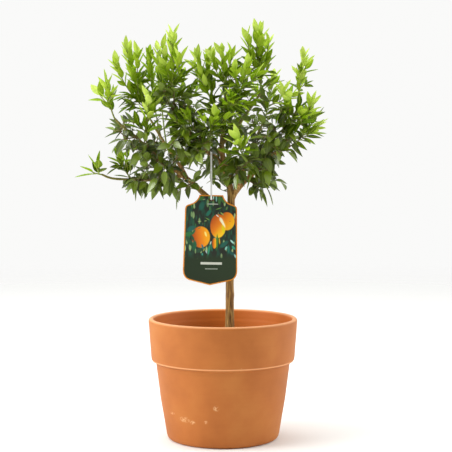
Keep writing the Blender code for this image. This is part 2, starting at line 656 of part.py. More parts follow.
class ShootBody:
    """One shoot as it is built: first its twigs and then its leaves."""

    def __init__(self, shoot, space):
        self.shoot = shoot
        self.space = space
        self.bm = bmesh.new()
        self.axes = []
        self.left_out = 0
        route = clear_start(twig_route(shoot.base, shoot.tip), TWIG_HALF[0], space)
        self.add_axis(self.cut_end(route), route, TWIG_HALF)
        nodes = self.axes[0].nodes
        for share, tip in shoot.sides:
            node = nodes[round(share * (len(nodes) - 1))]
            toward = (Vector(tip) - node.middle).normalized()
            route = twig_route(node.middle + toward * SIDE_TWIG_START, tip)
            self.add_axis(facing(node, toward), route, SIDE_TWIG_HALF)

    def cut_end(self, route):
        """A thin block at the start of the twig. Return its face that looks along the route."""
        ahead = (route[1] - route[0]).normalized()
        across = ahead.cross(UP).normalized()
        turn = Matrix((across, ahead.cross(across), ahead)).transposed().to_4x4()
        size = Matrix.Diagonal((2 * TWIG_HALF[0], 2 * TWIG_HALF[0], GAP, 1.0))
        made = bmesh.ops.create_cube(self.bm, size=1.0, matrix=Matrix.Translation(route[0]) @ turn @ size)
        self.bm.normal_update()
        faces = {face for vert in made["verts"] for face in vert.link_faces}
        return max(faces, key=lambda face: face.normal.dot(ahead))

    def add_axis(self, face, route, halves):
        """Draw out a twig, and let the space know of it, so that leaves and later twigs keep clear of it."""
        before = set(self.bm.faces)
        self.axes.append(grow_twig(self.bm, face, route, self.shoot.habit.spacing, halves))
        self.bm.normal_update()
        self.bm.verts.index_update()
        points = [vert.co.copy() for vert in self.bm.verts]
        faces = [tuple(vert.index for vert in face.verts) for face in self.bm.faces if face not in before]
        used = sorted({index for face in faces for index in face})
        place = {index: number for number, index in enumerate(used)}
        points = [points[index] for index in used]
        faces = [tuple(place[index] for index in face) for face in faces]
        owner = (self.shoot.name, len(self.axes) - 1)
        met = [item.owner for item in self.space.meetings(points, faces, owner)]
        if any(other[0] != self.shoot.name for other in met):
            raise ValueError(f"twig {owner} runs into {met}")
        self.space.add(owner, points, faces)

    def leaf_length(self, share):
        """Length of the leaf a share of the way up a twig: long in the middle, young and short at the tip."""
        fullness = math.sin(math.pi * (0.25 + 0.75 * share))
        return self.shoot.habit.leaf * (SHORTEST_LEAF + (1 - SHORTEST_LEAF) * fullness)

    def grow_leaves(self, rng):
        """Draw out every leaf that has room, and count the ones that have none."""
        habit = self.shoot.habit
        for number, axis in enumerate(self.axes):
            owner = (self.shoot.name, number)
            self.bm.normal_update()
            for place, node in enumerate(axis.nodes):
                share = (place + 0.5) / len(axis.nodes)
                turn = GOLDEN_TURN * 2 * place + rng.uniform(-0.25, 0.25)
                tilt = math.radians(habit.low_tilt + (habit.high_tilt - habit.low_tilt) * share)
                length = self.leaf_length(share) * rng.uniform(0.9, 1.08)
                self.try_leaf(owner, node, turn, tilt, length)
            end = Node(axis.end.calc_center_median(), axis.direction, axis.across, [axis.end])
            self.try_leaf(owner, end, rng.uniform(0.0, TAU), END_TILT, habit.leaf * END_LEAF)

    def try_leaf(self, owner, node, turn, tilt, length):
        """Grow a leaf from a node at the first of a few angles that has room."""
        for turn_by, tilt_by in TRIES:
            leaf = leaf_at(node, turn + turn_by, tilt + tilt_by, self.shoot.habit, length)
            face = facing(node, leaf.direction - node.direction * LEAN_BACK)
            neck = leaf.neck(face)
            if not self.space.meetings(*leaf.hull(GAP), owner) and not self.space.meetings(*neck, None):
                grow_leaf(self.bm, face, leaf)
                for shape in (leaf.hull(0.0), neck):
                    self.space.add((self.shoot.name, "leaf", len(self.space.placed)), *shape)
                return
        self.left_out += 1

    def finish(self, collection):
        """Make the shoot an object, in metres, with each twisted side split along its shorter diagonal."""
        bmesh.ops.triangulate(self.bm, faces=list(self.bm.faces), quad_method="SHORT_EDGE")
        bmesh.ops.transform(self.bm, matrix=Matrix.Scale(MM, 4), verts=self.bm.verts)
        mesh = bpy.data.meshes.new(self.shoot.name)
        self.bm.to_mesh(mesh)
        self.bm.free()
        finish = "flush" if self.shoot.habit is FLUSH else "mature"
        return add_object(self.shoot.name, mesh, collection, finish)


def main():
    """Build the potted tree."""
    empty_scene()
    parts = new_collection("potted_chinotto_tree")
    cutters = new_collection("cutters")
    make_pot(parts, cutters)
    make_soil(parts, cutters)
    wood = make_wood(parts, cutters)
    label = make_label(parts)
    strap = make_strap(parts)
    bpy.context.view_layer.update()
    space = Space()
    for obj in (*wood, label, strap):
        space.add_object(obj)
    bodies = [ShootBody(shoot, space) for shoot in SHOOTS]
    rng = random.Random(11)
    for body in bodies:
        body.grow_leaves(rng)
    for body in bodies:
        body.finish(parts)
    print("leaves left out for want of room:", sum(body.left_out for body in bodies))


main()
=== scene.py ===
"""The look of a young chinotto orange tree in a terracotta pot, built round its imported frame.

Tables and meshes are in millimetres, in the frame's own axes: the origin is the middle of the pot's base, +Z is
up and the hanging card faces -Y. Publishing a piece turns its mesh to metres.
"""

import logging
import math
import random
from collections import defaultdict
from collections.abc import Iterable, Sequence
from dataclasses import KW_ONLY, dataclass, field
from enum import Enum
from itertools import product
from typing import Any, NamedTuple

import bmesh
import bpy
from mathutils import Matrix, Vector, noise


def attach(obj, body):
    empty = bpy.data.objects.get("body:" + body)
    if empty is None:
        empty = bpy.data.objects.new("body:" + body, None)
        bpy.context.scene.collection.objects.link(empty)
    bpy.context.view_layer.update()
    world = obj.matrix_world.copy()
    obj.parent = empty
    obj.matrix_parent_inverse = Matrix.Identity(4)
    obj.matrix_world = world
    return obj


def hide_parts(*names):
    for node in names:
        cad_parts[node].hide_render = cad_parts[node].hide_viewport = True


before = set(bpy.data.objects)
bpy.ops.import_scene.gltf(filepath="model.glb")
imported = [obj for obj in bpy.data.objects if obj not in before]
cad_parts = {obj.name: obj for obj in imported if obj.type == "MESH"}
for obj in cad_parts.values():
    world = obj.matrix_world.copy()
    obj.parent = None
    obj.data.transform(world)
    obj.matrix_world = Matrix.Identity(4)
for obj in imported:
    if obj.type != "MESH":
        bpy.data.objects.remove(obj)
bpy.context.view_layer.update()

BMesh = bmesh.types.BMesh
NodeTree = bpy.types.NodeTree
Object = bpy.types.Object
Socket = bpy.types.NodeSocket
Point = tuple[float, ...]
# A colour that lies over another: how much of it shows, and its hex value or socket
Layer = tuple[Any, Any]

log = logging.getLogger("chinotto")

MM = 0.001
TAU = 2 * math.pi
UP = Vector((0.0, 0.0, 1.0))
GOLDEN_TURN = math.radians(137.5)
# What each vertex of a leaf knows of its own place and leaf: -1 to 1 across, 0 to 1 along, 0 to 1 dark to pale
LEAF_KEYS = ("across", "along", "shade")
# Where the middle of the card's top edge hangs, and how far the card leans to one side
CARD_TOP = (-18.5, -14.5, 392.5)
CARD_ROLL = math.radians(1.0)


# ---------------------------------------------------------------------------------------------------------
# Materials


def linear(color: str) -> tuple[float, float, float, float]:
    """Turn an sRGB colour to linear.

    Args:
        color: Six hex digits after a hash sign.

    Returns:
        Red, green, blue and an alpha of 1.
    """
    shares = [int(color[place:place + 2], 16) / 255 for place in (1, 3, 5)]
    red, green, blue = (share / 12.92 if share <= 0.04045 else ((share + 0.055) / 1.055) ** 2.4
                        for share in shares)
    return red, green, blue, 1.0


def add(tree: NodeTree, kind: str, sockets: dict[Any, Any] | None = None, stops: Sequence[tuple[float, str]] = (),
        **settings: Any) -> bpy.types.Node:
    """Add a shader node with its settings, its values and its links.

    Args:
        tree: The node tree.
        kind: The node's type without its ShaderNode prefix.
        sockets: What each input gets, by name or number: a value, a hex colour, or a socket to link. A MapRange
            has its value at 0, the range that it comes from at 1 and 2, and the one that it goes to at 3 and 4.
        stops: Places and colours of a colour ramp.
        **settings: The node's own properties.

    Returns:
        The node.
    """
    made = tree.nodes.new(f"ShaderNode{kind}")
    for name, value in settings.items():
        setattr(made, name, value)
    for name, value in (sockets or {}).items():
        if isinstance(value, Socket):
            tree.links.new(value, made.inputs[name])
        else:
            made.inputs[name].default_value = linear(value) if isinstance(value, str) else value
    for number, (place, color) in enumerate(stops):
        elements = made.color_ramp.elements
        stop = elements[number] if number < 2 else elements.new(place)
        stop.position = place
        stop.color = linear(color)
    return made


class Coat(NamedTuple):
    """What a finish is made of: its ground colour, the layers over it from the lowest up, and its relief."""

    ground: Any
    layers: list[Layer]
    height: Socket


@dataclass(frozen=True)
class Finish:
    """A surface finish, made a material the first time that a piece asks for it."""

    name: str
    roughness: float
    _: KW_ONLY
    specular: float = 0.5
    # Depth of the relief in millimetres, and how strongly it turns the light
    depth: float
    strength: float = 1.0
    # How much of the surface lets light through, and the colour that tints that light
    glow: float = 0.0
    through: str = "#FFFFFF"

    def material(self) -> bpy.types.Material:
        """Return the finish's material."""
        found = bpy.data.materials.get(self.name)
        if found:
            return found
        made = bpy.data.materials.new(self.name)
        made.use_nodes = True
        tree = made.node_tree
        shader = tree.nodes["Principled BSDF"]
        shader.inputs["Roughness"].default_value = self.roughness
        shader.inputs["Specular IOR Level"].default_value = self.specular
        color, layers, height = self.coat(tree)
        for share, over in layers:
            color = add(tree, "Mix", {0: share, 6: color, 7: over}, data_type="RGBA").outputs[2]
        tree.links.new(color, shader.inputs["Base Color"])
        bumped = add(tree, "Bump", {"Height": height, "Distance": self.depth * MM, "Strength": self.strength})
        tree.links.new(bumped.outputs[0], shader.inputs["Normal"])
        if self.glow:
            lit = add(tree, "Mix", {0: 0.5, 6: color, 7: self.through}, data_type="RGBA").outputs[2]
            translucent = add(tree, "BsdfTranslucent", {"Color": lit})
            shared = add(tree, "MixShader", {0: self.glow, 1: shader.outputs[0], 2: translucent.outputs[0]})
            tree.links.new(shared.outputs[0], tree.nodes["Material Output"].inputs["Surface"])
        return made

    def coat(self, tree: NodeTree) -> Coat:
        """Add the nodes that make this finish its own.

        Args:
            tree: The material's node tree.

        Returns:
            The ground colour, the layers over it and the relief.
        """
        raise NotImplementedError

    def pattern(self, tree: NodeTree, size: float, detail: float = 3.0,
                stretch: Point = (1.0, 1.0, 1.0)) -> Socket:
        """Add a noise pattern on object coordinates.

        Args:
            tree: The node tree.
            size: Size of the pattern's blotches in millimetres.
            detail: How many finer layers it has.
            stretch: Scale along each axis.

        Returns:
            The pattern's factor.
        """
        place = add(tree, "TexCoord").outputs["Object"]
        turned = add(tree, "Mapping", {"Vector": place, "Scale": stretch})
        sockets = {"Vector": turned.outputs[0], "Scale": 1 / (size * MM), "Detail": detail}
        return add(tree, "TexNoise", sockets).outputs[0]

    def whereabouts(self, tree: NodeTree) -> tuple[Socket, Socket, Socket]:
        """Object coordinates, the height in them and the distance from the pot's axis, in metres.

        Args:
            tree: The node tree.

        Returns:
            The three sockets.
        """
        place = add(tree, "TexCoord").outputs["Object"]
        height = add(tree, "SeparateXYZ", {0: place}).outputs[2]
        flat = add(tree, "VectorMath", {0: place, 1: (1.0, 1.0, 0.0)}, operation="MULTIPLY").outputs[0]
        return place, height, add(tree, "VectorMath", {0: flat}, operation="LENGTH").outputs["Value"]


@dataclass(frozen=True)
class Terracotta(Finish):
    """Fired earthenware, thrown and unglazed: a dry warm orange, cloudy, with faint turning lines and lime bloom."""

    clay: str = "#B06628"
    deep: str = "#A45C20"
    pale: str = "#B87030"
    inner: str = "#CC6C20"
    # The inner wall starts at this radius and ends at this height, in millimetres
    inner_edge: tuple[float, float] = (113.5, 150.0)
    bloom: str = "#EBC08A"
    # The colour of the painted highlights along the lip and the collar's lower edge
    arris_highlight: str = "#F0B07C"
    # The painted highlights on the arrises, at the lip and at the collar's lower edge: height, reach and how much of
    # it shows
    highlight_bands: tuple[Point, ...] = ((193.8, 2.6, 0.85), (127.6, 1.7, 0.75))
    # Scuffs of bloom low on the front: x, z, half their width and half their height
    scuffs: tuple[Point, ...] = ((-80, 50, 5.0, 2.2), (-60, 44, 8.5, 4.2), (-47, 41, 4.0, 2.8), (-26, 43, 3.0, 2.6),
                                 (-10, 66, 4.5, 4.0), (28, 128, 1.0, 2.6))
    # Where the scuffs are along y, and half of how far they go in: past the front wall and short of the back one
    scuff_y: float = -100.0
    scuff_depth: float = 60.0

    def coat(self, tree: NodeTree) -> Coat:
        """Cloud the clay, lay turning lines, painted highlights and bloom on it and give it a fine grain."""
        cloud = self.pattern(tree, size=70.0, detail=4.0)
        ground = add(tree, "ValToRGB", {0: cloud}, [(0.3, self.deep), (0.5, self.clay), (0.7, self.pale)])
        lines = self.pattern(tree, size=9.0, detail=2.0, stretch=(0.05, 0.05, 3.0))
        layers = [(add(tree, "MapRange", {0: lines, 1: 0.55, 2: 0.75, 3: 0.0, 4: 0.12}).outputs[0], self.deep)]
        place, height, radius = self.whereabouts(tree)
        within, above = (edge * MM for edge in self.inner_edge)
        inside = add(tree, "MapRange", {0: radius, 1: within, 2: within - 0.5 * MM}).outputs[0]
        upper = add(tree, "Math", {0: height, 1: above}, operation="GREATER_THAN").outputs[0]
        layers.append((add(tree, "Math", {0: inside, 1: upper}, operation="MULTIPLY").outputs[0], self.inner))
        # Painted highlights: pale bands round the lip and the collar's lower edge, where light catches the arrises
        for middle, reach, most in self.highlight_bands:
            off = add(tree, "Math", {0: height, 1: middle * MM}, operation="SUBTRACT").outputs[0]
            off = add(tree, "Math", {0: off}, operation="ABSOLUTE").outputs[0]
            share = add(tree, "MapRange", {0: off, 1: 0.0, 2: reach * MM, 3: most, 4: 0.0}).outputs[0]
            layers.append((share, self.arris_highlight))
        speck = self.pattern(tree, size=3.0, detail=6.0)
        broken = add(tree, "MapRange", {0: speck, 1: 0.42, 2: 0.6}).outputs[0]
        for x, z, half_width, half_height in self.scuffs:
            sockets = {"Vector": place, "Location": (x * MM, self.scuff_y * MM, z * MM),
                       "Scale": (half_width * MM, self.scuff_depth * MM, half_height * MM)}
            local = add(tree, "Mapping", sockets, vector_type="TEXTURE").outputs[0]
            far = add(tree, "VectorMath", {0: local}, operation="LENGTH").outputs["Value"]
            near = add(tree, "MapRange", {0: far, 1: 1.3, 2: 0.3, 3: 0.0, 4: 0.75}).outputs[0]
            layers.append((add(tree, "Math", {0: near, 1: broken}, operation="MULTIPLY").outputs[0], self.bloom))
        grain = self.pattern(tree, size=1.2, detail=5.0)
        relief = add(tree, "Math", {0: grain, 1: lines}, operation="ADD").outputs[0]
        return Coat(ground.outputs[0], layers, relief)


@dataclass(frozen=True)
class CompostEarth(Finish):
    """Damp peat compost: nearly black crumbs with brown fibres, dull all over."""

    dark: str = "#1C130D"
    brown: str = "#4A3322"

    def coat(self, tree: NodeTree) -> Coat:
        """Mottle the compost and roughen it."""
        crumbs = self.pattern(tree, size=4.0, detail=6.0)
        ground = add(tree, "ValToRGB", {0: crumbs}, [(0.4, self.dark), (0.7, self.brown)])
        return Coat(ground.outputs[0], [], self.pattern(tree, size=1.5, detail=5.0))


@dataclass(frozen=True)
class CitrusBark(Finish):
    """Young citrus bark: olive brown, thin and tight, with pale cracks that run up the stem and greyish bloom."""

    lit: str = "#BC9450"
    brown: str = "#8E662E"
    dark: str = "#583A18"
    moss: str = "#80702E"
    young: str = "#626C26"
    # The wood is young, and still green, above these heights and beyond these distances from the pot's axis
    young_heights: tuple[float, float] = (440.0, 520.0)
    young_reaches: tuple[float, float] = (90.0, 150.0)

    def coat(self, tree: NodeTree) -> Coat:
        """Streak the bark along the stem, crack it, and turn it green where the wood is young."""
        streaks = self.pattern(tree, size=1.8, detail=5.0, stretch=(1.0, 1.0, 0.09))
        ground = add(tree, "ValToRGB", {0: streaks}, [(0.30, self.dark), (0.48, self.brown), (0.66, self.lit)])
        blotches = self.pattern(tree, size=16.0)
        patches = add(tree, "MapRange", {0: blotches, 1: 0.5, 2: 0.7, 3: 0.0, 4: 0.4}).outputs[0]
        _, height, reach = self.whereabouts(tree)
        low, high = (value * MM for value in self.young_heights)
        near, far = (value * MM for value in self.young_reaches)
        upper = add(tree, "MapRange", {0: height, 1: low, 2: high, 3: 0.0, 4: 0.8}).outputs[0]
        outer = add(tree, "MapRange", {0: reach, 1: near, 2: far, 3: 0.0, 4: 0.7}).outputs[0]
        young = add(tree, "Math", {0: upper, 1: outer}, operation="MAXIMUM").outputs[0]
        return Coat(ground.outputs[0], [(patches, self.moss), (young, self.young)], streaks)


@dataclass(frozen=True)
class TwigSkin(Finish):
    """The green skin of a twig that has not made bark yet, smooth and slightly waxy."""

    green: str
    brown: str

    def coat(self, tree: NodeTree) -> Coat:
        """Blend the two colours in long streaks."""
        streaks = self.pattern(tree, size=6.0, detail=3.0)
        ground = add(tree, "ValToRGB", {0: streaks}, [(0.35, self.brown), (0.6, self.green)])
        return Coat(ground.outputs[0], [], self.pattern(tree, size=0.9))


@dataclass(frozen=True)
class LeafSkin(Finish):
    """A citrus leaf's skin: leathery and waxed, darker with age, with a paler midrib and faint side veins."""

    shades: tuple[str, ...]
    rib: str
    shade_stops: Point = (0.0, 0.3, 0.55, 0.8, 1.0)
    side_veins: int = 9
    vein_slant: float = 0.16
    depth: float = field(default=-0.2, kw_only=True)
    strength: float = field(default=0.6, kw_only=True)

    def coat(self, tree: NodeTree) -> Coat:
        """Colour each leaf by its own attributes and draw its midrib and side veins."""
        across, along, shade = (add(tree, "Attribute", attribute_name=key).outputs["Fac"] for key in LEAF_KEYS)
        ground = add(tree, "ValToRGB", {0: shade}, list(zip(self.shade_stops, self.shades))).outputs[0]
        cloud = add(tree, "MapRange", {0: self.pattern(tree, size=7.0), 1: 0.3, 2: 0.7, 3: 0.0, 4: 0.2}).outputs[0]
        out = add(tree, "Math", {0: across}, operation="ABSOLUTE").outputs[0]
        rib = add(tree, "MapRange", {0: out, 1: 0.04, 2: 0.14, 3: 0.75, 4: 0.0}).outputs[0]
        # Side veins leave the midrib forwards
        slant = add(tree, "Math", {0: out, 1: -self.vein_slant, 2: along}, operation="MULTIPLY_ADD").outputs[0]
        wave = add(tree, "Math", {0: slant, 1: self.side_veins * TAU}, operation="MULTIPLY").outputs[0]
        wave = add(tree, "Math", {0: wave}, operation="COSINE").outputs[0]
        vein = add(tree, "MapRange", {0: wave, 1: 0.8, 2: 1.0, 3: 0.0, 4: 0.22}).outputs[0]
        lines = add(tree, "Math", {0: rib, 1: vein}, operation="MAXIMUM").outputs[0]
        return Coat(ground, [(cloud, self.shades[1]), (lines, self.rib)], lines)


@dataclass(frozen=True)
class PlainPlastic(Finish):
    """Smooth plastic of one colour, slightly clouded by handling."""

    color: str

    def coat(self, tree: NodeTree) -> Coat:
        """Cloud the colour a little and give it fine scratches."""
        cloud = add(tree, "MapRange", {0: self.pattern(tree, size=8.0), 1: 0.3, 2: 0.7, 3: 0.15, 4: 0.0}).outputs[0]
        return Coat(self.color, [(cloud, "#000000")], self.pattern(tree, size=0.8))


class Spot(NamedTuple):
    """An oval on the printed card: its middle across and down from the tab's top, half sizes, lean and colour."""

    across: float
    down: float
    half_width: float
    half_height: float
    lean: float
    color: str


class Fruit(NamedTuple):
    """A printed orange: its middle, half sizes, where its light comes from, and its colours from dark to light."""

    across: float
    down: float
    half_width: float
    half_height: float
    light: float
    shades: tuple[str, ...]


FRUITS = (
    Fruit(43.0, 40.0, 5.5, 12.0, 20.0, ("#8A3A0E", "#C4681C", "#D07818")),
    Fruit(25.6, 41.5, 12.6, 15.0, -35.0, ("#C05A0C", "#EA8C0C", "#F0B010")),
    Fruit(11.7, 49.5, 12.9, 19.6, -50.0, ("#B8540E", "#E07C10", "#F4C01C")),
    Fruit(6.3, 77.0, 3.6, 9.0, 0.0, ("#A8500C", "#E48C0C", "#F0B014")),
    Fruit(-15.7, 67.5, 15.2, 17.6, 10.0, ("#A8440A", "#E07A10", "#F0A410")),
)

# Leaves of the print behind the fruit, then in front of it
FAR_BLADES = (
    Spot(-15.0, 17.5, 5.0, 9.0, 20, "#1F5A4A"), Spot(-16.5, 5.6, 3.2, 7.0, 60, "#3A6B2E"),
    Spot(-11.7, 7.2, 0.9, 2.8, 75, "#8FA070"), Spot(13.0, 8.0, 2.8, 9.0, 0, "#3E7034"),
    Spot(3.6, 4.5, 1.1, 4.2, 0, "#A9D6C4"), Spot(8.2, 5.8, 1.4, 5.6, 0, "#7CBCA8"),
    Spot(18.6, 8.0, 3.5, 7.0, -40, "#3C6A30"), Spot(25.0, 20.7, 1.6, 3.5, 20, "#5C7D3C"),
    Spot(-3.8, 28.7, 3.4, 7.0, 35, "#1F6A55"), Spot(-30.9, 18.4, 1.3, 5.4, -15, "#2F7A3C"),
    Spot(-18.1, 42.3, 0.8, 3.4, 85, "#9DB06A"), Spot(-8.6, 41.5, 0.8, 2.4, 80, "#8FA860"),
    Spot(-5.4, 38.3, 0.9, 4.5, -60, "#6A9440"), Spot(12.2, 21.5, 0.9, 6.0, 70, "#5F8A3A"),
    Spot(-31.5, 54.3, 5.0, 9.0, 60, "#1F5B50"), Spot(-35.0, 63.0, 4.5, 8.0, 80, "#2A6B3A"),
    Spot(22.0, 78.2, 4.0, 9.5, 50, "#1F5A4C"), Spot(29.0, 86.2, 2.4, 7.5, -5, "#1F6A58"),
    Spot(34.5, 92.6, 3.0, 6.5, -60, "#1B5048"),
)
NEAR_BLADES = (
    Spot(17.8, 29.8, 1.3, 4.2, -50, "#86A050"), Spot(10.3, 33.0, 1.0, 3.4, -50, "#D8E0D0"),
    Spot(-27.5, 60.0, 2.2, 6.5, 35, "#24603A"), Spot(-29.0, 69.0, 2.6, 7.0, -30, "#1E4A30"),
    Spot(-24.5, 78.5, 2.6, 6.0, -20, "#2A5A34"), Spot(-18.5, 53.5, 0.8, 3.4, 60, "#4A7A38"),
    Spot(16.6, 40.0, 3.0, 6.0, -28, "#F0DCA0"), Spot(18.6, 43.5, 2.2, 10.0, -28, "#F4EFC8"),
    Spot(20.0, 54.0, 2.6, 8.0, -10, "#DCC80C"),
    Spot(-8.0, 62.5, 1.8, 5.2, -20, "#F2DC78"), Spot(30.5, 41.4, 0.7, 0.9, 0, "#7A4410"),
    Spot(-26.1, 81.4, 4.2, 10.0, 10, "#1E5A3A"), Spot(-33.0, 76.0, 4.0, 11.0, -40, "#234A30"),
    Spot(-17.0, 88.5, 4.0, 8.0, 60, "#2A4A34"), Spot(-12.5, 83.0, 1.8, 5.5, -20, "#2C6A70"),
    Spot(-10.2, 87.8, 1.0, 3.0, 20, "#A0B050"), Spot(-6.5, 91.0, 0.9, 3.2, -25, "#B0C8D0"),
    Spot(-12.9, 95.0, 1.3, 2.2, 0, "#3C9A88"), Spot(1.0, 81.4, 1.9, 10.5, -12, "#1F6A50"),
    Spot(-2.5, 87.8, 2.0, 9.5, 8, "#2F8A68"), Spot(0.2, 76.6, 1.1, 3.4, 20, "#C0D0C0"),
    Spot(14.3, 73.4, 1.2, 6.0, -6, "#C8A820"), Spot(10.6, 74.2, 2.2, 13.5, 0, "#3F7A2A"),
    Spot(25.0, 84.6, 1.8, 3.8, 25, "#7FC0B0"), Spot(34.5, 74.2, 1.7, 4.8, -45, "#A0D8C8"),
    Spot(36.9, 83.8, 2.2, 4.2, -40, "#2F9A78"), Spot(40.1, 97.4, 1.7, 4.2, -30, "#8FC0B8"),
)

# Plain bars where the card's lines of print would stand: like spots, but square
BARS = (
    Spot(1.8, 109.4, 17.0, 1.9, 0, "#C6CABD"), Spot(1.9, 118.2, 10.0, 0.8, 0, "#8E988A"),
    Spot(2.6, 14.4, 8.6, 0.8, 0, "#A8B0A4"),
)


@dataclass(frozen=True)
class CardPrint(Finish):
    """Offset print on glossy plastic card: three oranges among dark leaves, over a plain green foot."""

    ground: str = "#23271E"
    leaf_ground: str = "#1E4A38"
    foot: str = "#1E2E18"
    foot_pale: str = "#27371F"
    # How far below the card's top the foot starts, and half the height over which it fades in
    foot_down: float = 98.0
    foot_fade: float = 5.0
    card_half: float = 40.0
    spray_green: str = "#2F6230"
    spray_pale: str = "#9CB87C"
    # Small printed leaves all over the ground: their lean in radians and the space that each has, in millimetres
    sprays: tuple[tuple[float, float], ...] = ((0.9, 2.6), (-0.7, 3.4))
    ground_lean: float = 0.7
    # Scales that draw a pattern out along z into blades
    blade_scale: Point = (0.5, 1.0, 0.16)
    # Shares of an oval's radius from which it fades out: a leaf's edge is softer than a fruit's
    blade_edge: float = 0.6
    fruit_edge: float = 0.92

    def coat(self, tree: NodeTree) -> Coat:
        """Lay small leaves, the foot, far leaves, oranges, near leaves and bars over dim foliage."""
        place = add(tree, "TexCoord").outputs["Object"]
        sockets = {"Vector": place, "Location": [share * MM for share in CARD_TOP], "Scale": (MM, MM, MM),
                   "Rotation": (0.0, CARD_ROLL, 0.0)}
        card = add(tree, "Mapping", sockets, vector_type="TEXTURE").outputs[0]
        leaning = self.drawn_out(tree, card, self.ground_lean)
        foliage = add(tree, "TexNoise", {"Vector": leaning, "Scale": 0.35, "Detail": 3.0}).outputs[0]
        ground = add(tree, "ValToRGB", {0: foliage}, [(0.46, self.ground), (0.68, self.leaf_ground)])
        layers = [self.spray(tree, card, lean, size) for lean, size in self.sprays]
        x, _, z = add(tree, "SeparateXYZ", {0: card}).outputs
        across = add(tree, "MapRange", {0: x, 1: -self.card_half, 2: self.card_half}).outputs[0]
        lower = add(tree, "Mix", {0: across, 6: self.foot, 7: self.foot_pale}, data_type="RGBA").outputs[2]
        edge = {0: z, 1: -self.foot_down + self.foot_fade, 2: -self.foot_down - self.foot_fade}
        layers.append((add(tree, "MapRange", edge).outputs[0], lower))
        layers += [self.blade(tree, card, spot) for spot in FAR_BLADES]
        layers += [self.orange(tree, card, fruit) for fruit in FRUITS]
        layers += [self.blade(tree, card, spot) for spot in NEAR_BLADES]
        layers += [self.bar(tree, card, bar) for bar in BARS]
        return Coat(ground.outputs[0], layers, self.pattern(tree, size=25.0, detail=1.0))

    def drawn_out(self, tree: NodeTree, card: Socket, lean: float) -> Socket:
        """The card's coordinates, turned and scaled so that a pattern on them is drawn out into blades."""
        sockets = {"Vector": card, "Rotation": (0.0, lean, 0.0), "Scale": self.blade_scale}
        return add(tree, "Mapping", sockets).outputs[0]

    def oval(self, tree: NodeTree, card: Socket, spot: Spot | Fruit, lean: float = 0.0) -> Socket:
        """Coordinates in which an oval of the print is a circle of radius 1."""
        sockets = {"Vector": card, "Location": (spot.across, 0.0, -spot.down),
                   "Rotation": (0.0, math.radians(lean), 0.0), "Scale": (spot.half_width, 1e6, spot.half_height)}
        return add(tree, "Mapping", sockets, vector_type="TEXTURE").outputs[0]

    def inside(self, tree: NodeTree, local: Socket, soft: float) -> Socket:
        """One inside an oval and nothing outside it, softened from a share of its radius on."""
        far = add(tree, "VectorMath", {0: local}, operation="LENGTH").outputs["Value"]
        return add(tree, "MapRange", {0: far, 1: 1.0, 2: soft}).outputs[0]

    def spray(self, tree: NodeTree, card: Socket, lean: float, size: float) -> Layer:
        """Small leaves side by side, some of them missing.

        Args:
            tree: The node tree.
            card: The card's coordinates.
            lean: How far the leaves lean, in radians.
            size: The space that each has, in millimetres.

        Returns:
            The layer.
        """
        leaning = self.drawn_out(tree, card, lean)
        cells = add(tree, "TexVoronoi", {"Vector": leaning, "Scale": 1.0 / size})
        hue = add(tree, "SeparateXYZ", {0: cells.outputs["Color"]}).outputs[0]
        stops = [(0.45, self.leaf_ground), (0.7, self.spray_green), (0.93, self.spray_pale)]
        near = add(tree, "MapRange", {0: cells.outputs["Distance"], 1: 0.34, 2: 0.24}).outputs[0]
        some = add(tree, "Math", {0: hue, 1: 0.42}, operation="GREATER_THAN").outputs[0]
        share = add(tree, "Math", {0: near, 1: some}, operation="MULTIPLY").outputs[0]
        return share, add(tree, "ValToRGB", {0: hue}, stops).outputs[0]

    def blade(self, tree: NodeTree, card: Socket, spot: Spot) -> Layer:
        """One larger leaf."""
        return self.inside(tree, self.oval(tree, card, spot, spot.lean), self.blade_edge), spot.color

    def orange(self, tree: NodeTree, card: Socket, fruit: Fruit) -> Layer:
        """One orange, lit from its own side.

        Args:
            tree: The node tree.
            card: The card's coordinates.
            fruit: The orange.

        Returns:
            The layer.
        """
        local = self.oval(tree, card, fruit)
        angle = math.radians(fruit.light)
        toward = (math.cos(angle), 0.0, math.sin(angle))
        lit = add(tree, "VectorMath", {0: local, 1: toward}, operation="DOT_PRODUCT").outputs["Value"]
        lit = add(tree, "MapRange", {0: lit, 1: -1.0, 2: 1.0}).outputs[0]
        body = add(tree, "ValToRGB", {0: lit}, list(zip((0.1, 0.5, 0.85), fruit.shades))).outputs[0]
        return self.inside(tree, local, self.fruit_edge), body

    def bar(self, tree: NodeTree, card: Socket, bar: Spot) -> Layer:
        """One plain bar, square at its ends.

        Args:
            tree: The node tree.
            card: The card's coordinates.
            bar: The bar.

        Returns:
            The layer.
        """
        apart = add(tree, "VectorMath", {0: self.oval(tree, card, bar)}, operation="ABSOLUTE").outputs[0]
        x, _, z = add(tree, "SeparateXYZ", {0: apart}).outputs
        far = add(tree, "Math", {0: x, 1: z}, operation="MAXIMUM").outputs[0]
        return add(tree, "Math", {0: far, 1: 1.0}, operation="LESS_THAN").outputs[0], bar.color


CLAY = Terracotta("fired_terracotta", roughness=0.62, specular=0.35, depth=0.12, strength=0.6)
EARTH = CompostEarth("damp_compost", roughness=0.95, depth=0.8)
BARK = CitrusBark("citrus_bark", roughness=0.78, depth=0.5, strength=0.8)
PRINT = CardPrint("printed_card", roughness=0.40, specular=0.3, depth=0.3, strength=0.4)
CARD_EDGE = PlainPlastic("orange_card_edge", roughness=0.40, depth=0.03, color="#E08800")
CARD_BACK = PlainPlastic("green_card_back", roughness=0.35, depth=0.03, color="#33463A")
STRAP_WHITE = PlainPlastic("white_strap_plastic", roughness=0.40, depth=0.03, color="#ECECE8")


# ---------------------------------------------------------------------------------------------------------
# Mesh helpers


def placed(bm: BMesh, name: str) -> Object:
    """Put a mesh into the scene as an object at the origin. The mesh is freed.

    Args:
        bm: The mesh.
        name: The object's name.

    Returns:
        The object.
    """
    mesh = bpy.data.meshes.new(name)
    bm.to_mesh(mesh)
    bm.free()
    obj = bpy.data.objects.new(name, mesh)
    bpy.context.scene.collection.objects.link(obj)
    return obj


